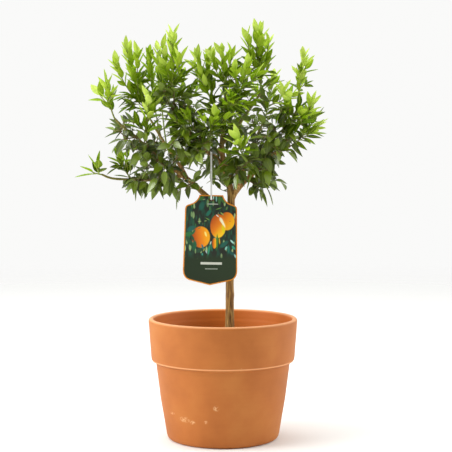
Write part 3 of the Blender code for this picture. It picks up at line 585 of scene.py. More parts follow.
def publish(bm: BMesh, name: str, node: str, finishes: Sequence[Finish]) -> Object:
    """Make a mesh in millimetres a finished piece that stands for its CAD node.

    Args:
        bm: The mesh. It is freed.
        name: The piece's name.
        node: The CAD node that it replaces.
        finishes: Its finishes, in the order of its faces' material numbers.

    Returns:
        The piece.
    """
    bmesh.ops.scale(bm, vec=(MM, MM, MM), verts=bm.verts)
    obj = placed(bm, name)
    for finish in finishes:
        obj.data.materials.append(finish.material())
    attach(obj, "root")
    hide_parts(node)
    log.info("%s: %d faces", name, len(obj.data.polygons))
    return obj


def soften(bm: BMesh, crease: float = 40.0) -> None:
    """Point all faces outwards and shade them smooth, apart from sharp edges.

    Args:
        bm: The mesh.
        crease: The angle, in degrees, from which an edge stays sharp.
    """
    bmesh.ops.recalc_face_normals(bm, faces=bm.faces)
    for face in bm.faces:
        face.smooth = True
    for edge in bm.edges:
        edge.smooth = len(edge.link_faces) == 2 and edge.calc_face_angle() < math.radians(crease)


def smooth_route(points: Sequence[Point], step: float) -> list[Point]:
    """Points about a step apart on a smooth curve through the given ones.

    Args:
        points: Points of two numbers, or of three and a radius.
        step: Distance between the points that come back.

    Returns:
        The points, with every number smoothed alike.
    """
    size = len(points[0])
    ends = [points[0], *points, points[-1]]
    route = []
    for before, start, end, after in zip(ends, ends[1:], ends[2:], ends[3:]):
        count = max(1, round(math.dist(start[:3], end[:3]) / step))
        for number in range(count):
            t = number / count
            route.append(tuple(
                0.5 * (2 * start[i] + (end[i] - before[i]) * t
                       + (2 * before[i] - 5 * start[i] + 4 * end[i] - after[i]) * t ** 2
                       + (3 * start[i] - before[i] - 3 * end[i] + after[i]) * t ** 3)
                for i in range(size)))
    route.append(tuple(float(value) for value in points[-1]))
    return route


def ring_frames(route: Sequence[Vector], radii: Sequence[float]) -> list[Matrix]:
    """Place, turn and size of each ring of a tube, with as little twist as it can have.

    Args:
        route: The tube's middle line.
        radii: The tube's radius at each of its points.

    Returns:
        A matrix for each point that takes a unit circle to the ring there.
    """
    across = (route[1] - route[0]).orthogonal().normalized()
    frames = []
    for index, (middle, radius) in enumerate(zip(route, radii)):
        ahead = (route[min(index + 1, len(route) - 1)] - route[max(index - 1, 0)]).normalized()
        across = (across - ahead * across.dot(ahead)).normalized()
        turn = Matrix((across, ahead.cross(across), ahead)).transposed().to_4x4()
        frames.append(Matrix.Translation(middle) @ turn @ Matrix.Diagonal((radius, radius, 1.0, 1.0)))
    return frames


def grow_tube(bm: BMesh, frames: Sequence[Matrix], sides: int) -> None:
    """Draw a tube with closed ends through the rings of its frames.

    Args:
        bm: The mesh that the tube is added to.
        frames: Where each ring is.
        sides: How many sides a ring has.
    """
    ring = bmesh.ops.create_circle(bm, cap_ends=True, segments=sides, radius=1.0, matrix=frames[0])
    cap = ring["verts"][0].link_faces[0]
    foot = list(cap.edges)
    for before, after in zip(frames, frames[1:]):
        cap = bmesh.ops.extrude_discrete_faces(bm, faces=[cap])["faces"][0]
        bmesh.ops.transform(bm, matrix=after @ before.inverted(), verts=list(cap.verts))
    bmesh.ops.holes_fill(bm, edges=[edge for edge in foot if edge.is_valid], sides=0)


def length_of(route: Sequence[Vector]) -> float:
    """Length of a line through points."""
    return sum((end - start).length for start, end in zip(route, route[1:]))


def square_to(ahead: Vector, across: Vector, turn: float) -> Vector:
    """The direction square to a stem at a turn about it, from a direction across it."""
    return across * math.cos(turn) + ahead.cross(across) * math.sin(turn)


def spun(profile: Sequence[Point], steps: int) -> BMesh:
    """Turn a profile of radius and height about the Z axis.

    Args:
        profile: The profile, from the axis round to the axis.
        steps: How many steps the turn has.

    Returns:
        The closed mesh.
    """
    bm = bmesh.new()
    verts = [bm.verts.new((radius, 0.0, height)) for radius, height in profile]
    edges = [bm.edges.new(pair) for pair in zip(verts, verts[1:])]
    bmesh.ops.spin(bm, geom=verts + edges, cent=(0, 0, 0), axis=(0, 0, 1), angle=TAU, steps=steps, use_merge=True)
    bmesh.ops.remove_doubles(bm, verts=bm.verts, dist=0.001)
    return bm


# ---------------------------------------------------------------------------------------------------------
# The pot and its compost


@dataclass
class Pot:
    """A thrown terracotta pot: a tapered body under a deep collar, with three drain holes."""

    steps: int = 144
    floor: float = 12.0
    lip: tuple[Point, ...] = ((111.4, 190.0), (111.9, 191.8), (113.2, 193.4), (115.0, 194.0), (117.2, 193.9),
                              (119.0, 192.7), (119.9, 190.6), (119.9, 188.0))
    collar_foot: tuple[Point, ...] = ((116.0, 134.0), (115.7, 131.0), (115.2, 128.2), (113.7, 125.9), (111.4, 124.7),
                                      (109.4, 124.2), (108.4, 123.0), (107.9, 120.5))
    body: tuple[Point, ...] = ((107.9, 120.5), (100.8, 64.0), (92.2, 14.0))
    foot: tuple[Point, ...] = ((92.2, 14.0), (91.2, 8.0), (89.9, 3.6), (87.4, 0.9), (84.2, 0.0))
    inner: tuple[Point, ...] = ((78.0, 12.0), (83.5, 18.0), (92.0, 64.0), (98.4, 112.0), (104.0, 132.0),
                                (107.8, 152.0), (110.6, 182.0), (111.4, 190.0))
    # The thrower's rings: their pitch, the height between two points of the wall, and the points over which they fade
    ring_pitch: float = 5.5
    ring_step: float = 1.6
    ring_fade: int = 4
    inner_relief: float = 0.75
    outer_relief: float = 0.14
    holes: int = 3
    hole_radius: float = 7.0
    hole_taper: float = 0.6
    hole_circle: float = 42.0

    def ringed(self, points: Sequence[Point], relief: float) -> list[Point]:
        """Straight runs of wall with the low rings that a thrower's fingers leave.

        Args:
            points: Radius and height of the corners between the runs.
            relief: Height of the rings.

        Returns:
            Radius and height along the wall, without its last corner.
        """
        route = []
        for start, end in zip(points, points[1:]):
            count = max(1, round(math.dist(start, end) / self.ring_step))
            for number in range(count):
                radius, height = (a + (b - a) * number / count for a, b in zip(start, end))
                fade = min(number, count - number, self.ring_fade) / self.ring_fade
                wave = noise.noise(Vector((relief, 0.0, height / self.ring_pitch)))
                route.append((radius + relief * wave * fade, height))
        return route

    def profile(self) -> list[Point]:
        """The pot's section, from the middle of its floor up, over the lip and down to the middle of its base."""
        inside = [(0.0, self.floor)] + self.ringed(self.inner, self.inner_relief)
        lip = smooth_route(self.lip, 0.7)
        collar = self.ringed((self.lip[-1], self.collar_foot[0]), self.outer_relief)
        shoulder = smooth_route(self.collar_foot, 0.8)[:-1]
        return (inside + lip + collar[1:] + shoulder + self.ringed(self.body, self.outer_relief)
                + smooth_route(self.foot, 1.2) + [(0.0, 0.0)])

    def drilled(self, blank: BMesh) -> BMesh:
        """The pot with its drain holes cut through the floor. The blank is freed.

        Args:
            blank: The pot's mesh before it is drilled.

        Returns:
            The mesh with its holes.
        """
        drill = bmesh.new()
        for number in range(self.holes):
            turn = TAU * number / self.holes
            place = (self.hole_circle * math.sin(turn), self.hole_circle * math.cos(turn), self.floor / 2)
            bmesh.ops.create_cone(drill, cap_ends=True, segments=32, radius1=self.hole_radius + self.hole_taper,
                                  radius2=self.hole_radius - self.hole_taper, depth=self.floor * 2,
                                  matrix=Matrix.Translation(place))
        pot, tool = (placed(bm, name) for bm, name in ((blank, "pot_blank"), (drill, "pot_drill")))
        cut = pot.modifiers.new("holes", "BOOLEAN")
        cut.operation = "DIFFERENCE"
        cut.solver = "EXACT"
        cut.object = tool
        evaluated = pot.evaluated_get(bpy.context.evaluated_depsgraph_get())
        bm = bmesh.new()
        bm.from_mesh(evaluated.to_mesh())
        for obj in (pot, tool):
            bpy.data.objects.remove(obj, do_unlink=True)
        return bm

    def build(self) -> Object:
        """Turn the pot, drill it and finish it."""
        bm = spun(self.profile(), self.steps)
        bmesh.ops.recalc_face_normals(bm, faces=bm.faces)
        bm = self.drilled(bm)
        soften(bm)
        return publish(bm, "clay_pot", "pot", [CLAY])


@dataclass
class Compost:
    """The potting compost: one crumbly mass that fills the pot to below its rim."""

    pot: Pot
    gap: float = 0.3
    # How much further than the gap it stays off the wall, at its edge and below it, because the wall is ringed
    edge_play: float = 0.4
    wall_play: float = 0.7
    # How many points of the pot's inner wall are below the compost's top
    buried: int = 5
    edge: float = 152.5
    crown: float = 155.6
    # Height and size of the top's lumps
    relief: float = 1.5
    lump: float = 9.0
    crumbs: int = 520
    crumb_sizes: tuple[float, float] = (0.7, 2.9)
    chips: int = 90
    # How far crumbs stay off the edge
    clear_rim: float = 5.0
    # Rings of the top, and steps of the turn
    rings: int = 60
    steps: int = 150
    seed: int = 5

    def height(self, share: float) -> float:
        """Height of the domed top at a share of the way from its middle to its edge."""
        return self.crown + (self.edge - self.crown) * share ** 2

    def build(self) -> Object:
        """Turn the mass, roughen its top and strew crumbs and fibres on it."""
        inner = self.pot.inner
        reach = inner[self.buried][0] - self.gap - self.edge_play
        top = [(reach * number / self.rings, self.height(number / self.rings)) for number in range(self.rings + 1)]
        low = [(radius - self.gap - self.wall_play, max(height, self.pot.floor + self.gap))
               for radius, height in reversed(inner[:self.buried])]
        bm = spun(top + low + [(0.0, self.pot.floor + self.gap)], self.steps)
        for vert in bm.verts:
            if vert.co.z > self.edge - 1.0:
                lump = noise.fractal(vert.co / self.lump, 0.7, 2.2, 5)
                edge_fade = min(1.0, (reach - vert.co.xy.length) / 3.0)
                vert.co.z += self.relief * lump * max(0.0, edge_fade)
        rng = random.Random(self.seed)
        for number in range(self.crumbs + self.chips):
            radius = (reach - self.clear_rim) * math.sqrt(rng.random())
            turn = rng.uniform(0.0, TAU)
            height = self.height(radius / reach) + rng.uniform(-0.2, 0.9)
            place = Matrix.Translation((radius * math.cos(turn), radius * math.sin(turn), height))
            place @= Matrix.Rotation(rng.uniform(0.0, TAU), 4, "Z") @ Matrix.Rotation(rng.uniform(-0.5, 0.5), 4, "X")
            if number < self.crumbs:
                size = rng.uniform(*self.crumb_sizes)
                shape = Matrix.Diagonal((size, size * rng.uniform(0.6, 1.0), size * rng.uniform(0.4, 0.8), 1.0))
                bmesh.ops.create_icosphere(bm, subdivisions=1, radius=1.0, matrix=place @ shape)
            else:
                shape = Matrix.Diagonal((rng.uniform(4.0, 9.0), rng.uniform(0.8, 2.0), 0.8, 1.0))
                bmesh.ops.create_cube(bm, size=1.0, matrix=place @ shape)
        soften(bm, crease=50.0)
        return publish(bm, "potting_compost", "soil", [EARTH])


# ---------------------------------------------------------------------------------------------------------
# The wood


class Limb(NamedTuple):
    """A stem: x, y, z and radius along its middle line."""

    name: str
    points: tuple[Point, ...]


TRUNK = Limb("trunk", (
    (11, 0, 108, 4.5), (11, 0, 130, 7.5), (11, 0, 152, 9.4), (11, 0, 168, 8.3), (11, 0, 196, 7.0),
    (11, 0, 240, 6.5), (12, 0, 300, 6.3), (13, 0, 350, 6.3), (13, 0, 386, 6.0), (10, 1, 412, 5.1),
    (3, 2, 437, 4.6), (-2, 3, 468, 4.0), (1, 4, 500, 3.4), (4, 2, 532, 2.8), (4, 0, 560, 2.2)))

LIMBS = (
    Limb("limb_left", (
        (13, 0, 350, 4.4), (0, 2, 364, 4.6), (-20, 4, 384, 4.4), (-36, 4, 399, 4.2), (-52, 2, 414, 3.9),
        (-76, -2, 432, 3.5), (-106, -8, 454, 3.0), (-138, -14, 484, 2.4), (-160, -16, 502, 2.0),
        (-172, -17, 514, 1.8))),
    Limb("limb_low_left", (
        (-64, 0, 423, 2.6), (-82, 4, 421, 2.5), (-112, 8, 417, 2.3), (-150, 4, 417, 2.0),
        (-178, -2, 419, 1.8), (-194, -4, 425, 1.6))),
    Limb("limb_mid_left", (
        (-58, 1, 418, 2.9), (-66, 14, 434, 2.9), (-84, 32, 459, 2.6), (-101, 46, 484, 2.3),
        (-119, 58, 514, 1.8))),
    Limb("limb_upper_left", (
        (2, 2, 440, 3.2), (-12, 0, 451, 3.2), (-24, -4, 461, 3.1), (-38, -16, 475, 3.0), (-54, -28, 495, 2.6),
        (-76, -40, 536, 2.0))),
    Limb("limb_front", (
        (-1, 3, 459, 2.8), (-8, -5, 464, 2.5), (-18.5, -14.5, 468.5, 1.9), (-30, -30, 479, 2.0),
        (-40, -44, 492, 1.8))),
    Limb("limb_right", (
        (13, 0, 384, 3.8), (22, -2, 399, 4.1), (38, -4, 417, 3.8), (60, -6, 437, 3.4), (84, -8, 459, 2.9),
        (102, -6, 481, 2.5), (117, 0, 526, 1.9))),
    Limb("limb_front_right", (
        (20, -2, 397, 3.0), (25, -14, 410, 3.0), (30, -28, 424, 2.6), (34, -50, 452, 1.9))),
    Limb("limb_upper_right", (
        (-1, 3, 476, 3.0), (14, 12, 492, 3.0), (31, 24, 514, 2.7), (62, 44, 558, 2.0))),
    Limb("limb_back_left", (
        (5, 2, 431, 3.0), (-8, 20, 448, 3.0), (-27, 46, 476, 2.6), (-54, 86, 528, 1.8))),
    Limb("limb_back_right", (
        (8, 1, 418, 3.0), (23, 20, 438, 3.1), (44, 46, 464, 2.7), (70, 86, 518, 1.8))),
)


@dataclass
class Wood:
    """The trunk and its limbs. Each limb runs into the stem that it grows from and swells where it leaves it."""

    step: float = 3.0
    trunk_sides: int = 24
    limb_sides: int = 16
    collar_swell: float = 0.5
    collar_reach: float = 7.0
    relief: float = 0.34
    # Waves of the bark's relief to a millimetre along each axis: the ridges are long and run up the stem
    grain_scale: Point = (0.55, 0.55, 0.07)
    # Knots on the trunk: x, y, z, reach and height
    knots: tuple[Point, ...] = ((17, -3, 231, 6.0, 0.9), (7, -5, 268, 7.0, 0.8), (12, -6, 199, 6.0, 0.7),
                                (5, 3, 322, 6.0, 1.0), (14, 5, 290, 5.0, 1.0))

    def stem(self, limb: Limb, sides: int) -> Object:
        """One stem with its collar, knots and the lengthwise relief of its bark.

        Args:
            limb: The stem.
            sides: How many sides it has.

        Returns:
            The piece.
        """
        route = smooth_route(limb.points, self.step)
        middles = [Vector(point[:3]) for point in route]
        swell = 0.0 if limb is TRUNK else self.collar_swell
        radii = [point[3] * (1 + swell * math.exp(-(middle - middles[0]).length / self.collar_reach))
                 for point, middle in zip(route, middles)]
        bm = bmesh.new()
        grow_tube(bm, ring_frames(middles, radii), sides)
        bmesh.ops.recalc_face_normals(bm, faces=bm.faces)
        bm.normal_update()
        for vert in bm.verts:
            place = vert.co
            grain = Vector([value * scale for value, scale in zip(place, self.grain_scale)])
            rise = self.relief * noise.fractal(grain, 0.8, 2.1, 4)
            for x, y, z, reach, height in self.knots:
                rise += height * math.exp(-(place - Vector((x, y, z))).length_squared / reach ** 2)
            vert.co = place + vert.normal * rise
        soften(bm, crease=70.0)
        return publish(bm, f"{limb.name}_wood", limb.name, [BARK])

    def build(self) -> list[Object]:
        """Grow the trunk and every limb."""
        return [self.stem(TRUNK, self.trunk_sides)] + [self.stem(limb, self.limb_sides) for limb in LIMBS]


# ---------------------------------------------------------------------------------------------------------
# The shoots


class Habit(NamedTuple):
    """How the leaves sit on a shoot of one age. Lengths in millimetres, angles in degrees from the twig."""

    leaf: float
    tip_leaf: float
    slimness: float
    spacing: float
    low_tilt: float
    high_tilt: float
    droop: float
    fold: float
    roll: float
    shade: tuple[float, float]
    slot: str
    finishes: tuple[Finish, ...]


YOUNG_SKIN = LeafSkin("young_leaf_skin", roughness=0.50, specular=0.12, rib="#D6E858",
                      glow=0.38, through="#C4DC0C", shades=("#263800", "#4C6C00", "#88B000", "#B8D61E", "#E0F080"))
YOUNG_UNDER = LeafSkin("young_leaf_underside", roughness=0.60, specular=0.12, rib="#D6E858",
                       glow=0.38, through="#C4DC0C", shades=("#44560E", "#6A8612", "#98B820", "#BED640", "#DCEC7C"))
MATURE_SKIN = LeafSkin("mature_leaf_skin", roughness=0.31, specular=0.9, rib="#7C9028",
                       glow=0.20, through="#9CB418", shades=("#2E3A02", "#4A5A06", "#64780A", "#809A14", "#A4BC3C"))
MATURE_UNDER = LeafSkin("mature_leaf_underside", roughness=0.50, specular=0.3, rib="#90A050",
                        glow=0.20, through="#9CB418", shades=("#4C5C1C", "#5E7224", "#748A30", "#889E42", "#A2B45C"))
YOUNG_TWIG = TwigSkin("green_twig_skin", roughness=0.5, depth=0.15, green="#8AA03C", brown="#7A7434")
OLD_TWIG = TwigSkin("browning_twig_skin", roughness=0.65, depth=0.15, green="#6C6E34", brown="#6B4E2C")


class Age(Enum):
    """The two ages of shoot: this spring's flush, and last year's growth with full-sized dark leaves."""

    FLUSH = Habit(leaf=28.0, tip_leaf=21.0, slimness=0.37, spacing=5.6, low_tilt=50.0, high_tilt=20.0, droop=0.05,
                  fold=18.0, roll=17.0, shade=(0.12, 1.0), slot="young_leaf",
                  finishes=(YOUNG_SKIN, YOUNG_UNDER, YOUNG_TWIG))
    MATURE = Habit(leaf=25.5, tip_leaf=20.0, slimness=0.50, spacing=7.2, low_tilt=76.0, high_tilt=44.0, droop=0.26,
                   fold=16.0, roll=28.0, shade=(0.10, 0.72), slot="mature_leaf",
                   finishes=(MATURE_SKIN, MATURE_UNDER, OLD_TWIG))


class Shoot(NamedTuple):
    """A leafy shoot: its twig's base and tip, its side twigs, each a share of the way up and a tip, how pale, how
    big and how far apart its leaves are beside others of its age, and the share of its twig below its leaves."""

    name: str
    age: Age
    base: Point
    tip: Point
    sides: tuple[tuple[float, Point], ...] = ()
    youth: float = 1.0
    size: float = 1.0
    gap: float = 1.0
    bare: float = 0.08


SHOOTS = (
    Shoot("shoot_far_left", Age.FLUSH, (-172, -17, 514), (-184, -30, 566),
          ((0.5, (-195, -16, 551)), (0.6, (-174, -38, 550))), youth=1.1, size=1.1, gap=1.1, bare=0.2),
    Shoot("shoot_left_end", Age.FLUSH, (-194, -4, 425), (-206, -10, 428),
          ((0.35, (-198, -22, 437)),), youth=0.75, size=1.2),
    Shoot("shoot_left_low", Age.FLUSH, (-146, 5, 417), (-167, 10, 452), ((0.5, (-153, -14, 453)),), youth=0.6),
    Shoot("shoot_left_inner", Age.MATURE, (-138, -14, 484), (-156, -54, 480), ((0.5, (-166, -44, 499)),), gap=1.6),
    Shoot("shoot_left_crook", Age.MATURE, (-156, -16, 499), (-160, 24, 512), ((0.5, (-169, 22, 497)),), gap=2.6),
    Shoot("shoot_tall_left", Age.FLUSH, (-119, 58, 514), (-159, 66, 629),
          ((0.25, (-174, 40, 602)), (0.5, (-141, 54, 620)))),
    Shoot("shoot_left_front", Age.FLUSH, (-126, -12, 473), (-116, -52, 543),
          ((0.6, (-103, -44, 540)),), youth=1.15, size=1.1),
    Shoot("shoot_left_behind", Age.FLUSH, (-101, 46, 484), (-126, 108, 624),
          ((0.5, (-150, 104, 590)),), youth=0.65, gap=0.75, bare=0.45),
    Shoot("shoot_left_mid", Age.FLUSH, (-92, 38, 470), (-106, 34, 626), ((0.6, (-96, 52, 606)),), gap=1.2, bare=0.45),
    Shoot("shoot_crown_left", Age.FLUSH, (-76, -40, 536), (-78, -46, 640),
          ((0.3, (-94, -60, 617)), (0.35, (-66, -58, 603)), (0.5, (-82, -30, 632)))),
    Shoot("shoot_crown_mid_left", Age.FLUSH, (0, 4, 512), (-42, 26, 615),
          ((0.6, (-47, 34, 602)), (0.6, (-26, 46, 616))), gap=0.85),
    Shoot("shoot_crown_mid", Age.FLUSH, (4, 0, 560), (-2, -18, 618), ((0.25, (-18, 14, 611)), (0.3, (15, 10, 617))),
          gap=0.85),
    Shoot("shoot_crown_mid_right", Age.FLUSH, (4, 2, 530), (38, -50, 594),
          ((0.5, (18, -62, 584)), (0.5, (53, -44, 580))), youth=0.9, gap=0.9),
    Shoot("shoot_crown_front", Age.FLUSH, (3, 3, 520), (12, -80, 545),
          ((0.6, (24, -76, 536)), (0.4, (45, -30, 540))), youth=0.75),
    Shoot("shoot_crown_right", Age.FLUSH, (62, 44, 558), (63, 46, 657),
          ((0.25, (39, 26, 643)), (0.3, (75, 60, 642)), (0.45, (53, 30, 651)))),
    Shoot("shoot_right_front", Age.FLUSH, (112, -4, 502), (95, -54, 554), ((0.5, (101, -62, 541)),), youth=1.1),
    Shoot("shoot_tall_right", Age.FLUSH, (117, 0, 526), (128, 6, 613),
          ((0.4, (121, 16, 588)), (0.7, (133, -6, 602))), youth=1.2, size=0.95, gap=0.95, bare=0.4),
    Shoot("shoot_right_side", Age.FLUSH, (108, -5, 494), (138, -44, 533), ((0.5, (120, -56, 519)),), size=1.15),
    Shoot("shoot_far_right", Age.FLUSH, (101, -6, 479), (151, 20, 501), ((0.5, (141, 38, 520)),), size=1.15),
    Shoot("shoot_right_dark", Age.MATURE, (86, -8, 461), (98, -50, 522), ((0.5, (74, -60, 506)),)),
    Shoot("shoot_right_low", Age.MATURE, (84, -8, 459), (126, -30, 486), ((0.5, (102, -54, 480)),), gap=1.9),
    Shoot("shoot_right_heart", Age.MATURE, (60, -6, 437), (72, -70, 486),
          ((0.5, (88, -72, 462)), (0.4, (46, -46, 512))), gap=1.25),
    Shoot("shoot_right_belly", Age.MATURE, (58, -6, 435), (72, -54, 443), ((0.45, (58, -60, 432)),), gap=1.2),
    Shoot("shoot_right_hang", Age.MATURE, (38, -4, 417), (54, -34, 405), ((0.5, (72, -24, 403)),)),
    Shoot("shoot_right_hang_back", Age.MATURE, (62, -6, 439), (78, 26, 410), ((0.5, (60, 42, 410)),), gap=1.8),
    Shoot("shoot_front_bright", Age.FLUSH, (34, -50, 452), (23, -91, 477),
          ((0.4, (34, -86, 470)),), youth=1.15, size=1.2),
    Shoot("shoot_front_pale", Age.MATURE, (29, -26, 421), (8, -60, 442), ((0.5, (42, -76, 448)),)),
    Shoot("shoot_front", Age.FLUSH, (-28, -28, 477), (-12, -78, 514),
          ((0.45, (-32, -82, 511)), (0.5, (4, -70, 511))), youth=0.85, size=0.9),
    Shoot("shoot_front_left", Age.FLUSH, (-40, -44, 492), (-54, -84, 514), ((0.4, (-74, -68, 508)),), youth=0.4),
    Shoot("shoot_front_dark", Age.MATURE, (-34, -36, 484), (-42, -76, 458), ((0.5, (-22, -74, 462)),)),
    Shoot("shoot_left_heart", Age.MATURE, (-36, -14, 473), (-74, -60, 484), ((0.5, (-58, -72, 496)),), gap=1.2),
    Shoot("shoot_upper_dark", Age.MATURE, (-54, -28, 493), (-60, -60, 534), ((0.5, (-42, -48, 526)),)),
    Shoot("shoot_upper_left_dark", Age.MATURE, (-66, -34, 512), (-92, -52, 556), ((0.4, (-76, -56, 554)),)),
    Shoot("shoot_left_belly", Age.MATURE, (-76, -2, 432), (-96, -60, 444),
          ((0.45, (-70, -66, 456)), (0.5, (-120, -58, 436))), gap=1.35),
    Shoot("shoot_left_shoulder", Age.MATURE, (-106, -8, 454), (-120, -56, 478), ((0.5, (-140, -54, 464)),), gap=1.35),
    Shoot("shoot_left_hang", Age.MATURE, (-112, 8, 417), (-140, -22, 417), ((0.5, (-120, -38, 414)),), gap=1.3),
    Shoot("shoot_left_hang_inner", Age.MATURE, (-80, 4, 421), (-108, 40, 415), ((0.5, (-84, 46, 417)),)),
    Shoot("shoot_label_side", Age.MATURE, (-50, 3, 412), (-60, -32, 400), ((0.5, (-44, -40, 414)),)),
    Shoot("shoot_back_left", Age.FLUSH, (-54, 86, 528), (-72, 116, 594),
          ((0.4, (-38, 134, 578)), (0.4, (-102, 122, 564))), bare=0.35),
    Shoot("shoot_back_right", Age.FLUSH, (70, 86, 518), (84, 112, 588),
          ((0.4, (116, 104, 558)), (0.45, (54, 138, 570)))),
    Shoot("shoot_back_left_dark", Age.MATURE, (-27, 46, 476), (-88, 104, 468), ((0.5, (-50, 132, 484)),), gap=1.5),
    Shoot("shoot_back_right_dark", Age.MATURE, (44, 46, 464), (98, 92, 478), ((0.5, (72, 128, 494)),), gap=1.5),
    Shoot("shoot_back", Age.FLUSH, (-1, 4, 486), (6, 108, 554), ((0.5, (-24, 140, 534)), (0.5, (36, 138, 522)))),
    Shoot("shoot_back_low", Age.MATURE, (-10, 22, 451), (-18, 110, 430), ((0.5, (24, 124, 440)),), gap=1.3),
    Shoot("shoot_left_back", Age.MATURE, (-96, -5, 447), (-136, 84, 462), ((0.5, (-108, 104, 500)),), gap=2.4),
)


class Leaf(NamedTuple):
    """A leaf blade: its foot, its direction and upper side, its size, how far it hangs and folds, and its shade."""

    foot: Vector
    heading: Vector
    upper: Vector
    length: float
    half_width: float
    droop: float
    fold: float
    shade: float

    def middle(self, share: float) -> Vector:
        """The point a share of the way along the midrib."""
        return self.foot + self.heading * (self.length * share) - UP * (self.length * self.droop * share ** 2)


def leaf_mesh() -> BMesh:
    """An empty mesh whose vertices can hold a leaf's own values."""
    bm = bmesh.new()
    for key in LEAF_KEYS:
        bm.verts.layers.float.new(key)
    return bm


@dataclass
class Blade:
    """The shape that every leaf is made from: a pointed oval with a short stalk, one long and one wide each side."""

    stations: tuple[float, ...] = (0.10, 0.20, 0.34, 0.50, 0.68, 0.85, 1.0)
    widths: tuple[float, ...] = (0.0, 0.56, 0.93, 1.0, 0.80, 0.43, 0.0)
    thickness: float = 0.02
    stalk_half: float = 0.11
    # How far the stalk runs into the blade, and how flat it is
    stalk_overlap: float = 0.06
    stalk_flatness: float = 0.3
    crease: float = 0.6
    mesh: bpy.types.Mesh = field(init=False)

    def __post_init__(self) -> None:
        """Shape the blade once."""
        bm = leaf_mesh()
        across, along, _ = (bm.verts.layers.float[key] for key in LEAF_KEYS)
        for side in (1, -1):
            made = bmesh.ops.create_grid(bm, x_segments=2, y_segments=len(self.stations) - 1, size=1.0)
            for vert in made["verts"]:
                row = round((vert.co.y + 1) / 2 * (len(self.stations) - 1))
                vert[across] = vert.co.x
                vert[along] = self.stations[row]
                rise = side * self.thickness if abs(vert.co.x) < 0.5 and self.widths[row] else 0.0
                vert.co = (vert.co.x * self.widths[row], self.stations[row], rise)
            faces = {face for vert in made["verts"] for face in vert.link_faces}
            for face in faces:
                face.material_index = 0 if side > 0 else 1
            if side < 0:
                bmesh.ops.reverse_faces(bm, faces=list(faces))
        bmesh.ops.remove_doubles(bm, verts=bm.verts, dist=0.001)
        bmesh.ops.dissolve_degenerate(bm, dist=0.001, edges=bm.edges)
        stalk_length = self.stations[0] + self.stalk_overlap
        stalk = bmesh.ops.create_cone(bm, cap_ends=True, segments=4, radius1=self.stalk_half,
                                      radius2=self.stalk_half * 0.8, depth=stalk_length)
        for vert in stalk["verts"]:
            vert.co = (vert.co.x, vert.co.z + stalk_length / 2, vert.co.y * self.stalk_flatness)
        for face in {face for vert in stalk["verts"] for face in vert.link_faces}:
            face.material_index = 2
        for face in bm.faces:
            face.smooth = True
        for edge in bm.edges:
            rim = all(abs(vert[across]) == 1 for vert in edge.verts)
            edge.smooth = edge.calc_face_angle(0.0) < self.crease and not rim
        self.mesh = bpy.data.meshes.new("blade")
        bm.to_mesh(self.mesh)
        bm.free()

    def grow(self, bm: BMesh, leaf: Leaf) -> None:
        """Add one leaf to a shoot's mesh.

        Args:
            bm: The shoot's mesh, with the blade's vertex layers.
            leaf: The leaf's place and shape.
        """
        first = len(bm.verts)
        bm.from_mesh(self.mesh)
        bm.verts.ensure_lookup_table()
        shade = bm.verts.layers.float["shade"]
        out = leaf.heading.cross(leaf.upper).normalized()
        flat, raised = math.cos(leaf.fold), math.sin(leaf.fold)
        for vert in bm.verts[first:]:
            x, share, rise = vert.co
            side = leaf.half_width * x
            lift = abs(side) * raised + rise * leaf.length
            vert.co = leaf.middle(share) + out * (side * flat) + leaf.upper * lift
            vert[shade] = leaf.shade


class Room:
    """Where leaves already are, so that the next one can turn to where there is most room."""

    def __init__(self, cell: float = 9.0) -> None:
        """Start with nothing placed.

        Args:
            cell: Side of the cubes that points are sorted into, and the furthest that clearance looks.
        """
        self.cell = cell
        self.cells: dict[tuple[int, ...], list[Vector]] = defaultdict(list)

    def key(self, point: Vector) -> tuple[int, ...]:
        """The cube that a point is in."""
        return tuple(math.floor(value / self.cell) for value in point)

    def add(self, points: Iterable[Vector]) -> None:
        """Remember points along a leaf."""
        for point in points:
            self.cells[self.key(point)].append(point)

    def clearance(self, points: Iterable[Vector]) -> float:
        """Distance from points along a leaf to the nearest leaf, no more than a cell.

        Args:
            points: The points.

        Returns:
            The distance.
        """
        nearest = self.cell
        for point in points:
            x, y, z = self.key(point)
            for dx, dy, dz in product((-1, 0, 1), repeat=3):
                for other in self.cells.get((x + dx, y + dy, z + dz), ()):
                    nearest = min(nearest, (other - point).length)
        return nearest


# Boxes before the card and before its strap, low corner and high corner, that stay clear of leaves
CLEAR_BOXES = (
    ((-64.0, -140.0, 240.0), (27.0, -8.0, 393.0)),
    ((-24.0, -140.0, 393.0), (-13.0, -17.0, 460.0)),
)
# Stretches of the limbs, low corner and high corner, from which no leafy twig grows
BARE_BOXES = (
    ((-112.0, 20.0, 450.0), (-76.0, 60.0, 510.0)),
    ((68.0, -20.0, 442.0), (112.0, 10.0, 492.0)),
)


def within(place: Vector, boxes: Sequence[tuple[Point, Point]]) -> bool:
    """Whether a point is in any of some boxes, each a low corner and a high corner."""
    return any(all(low <= value <= high for low, value, high in zip(lowest, place, highest))
               for lowest, highest in boxes)


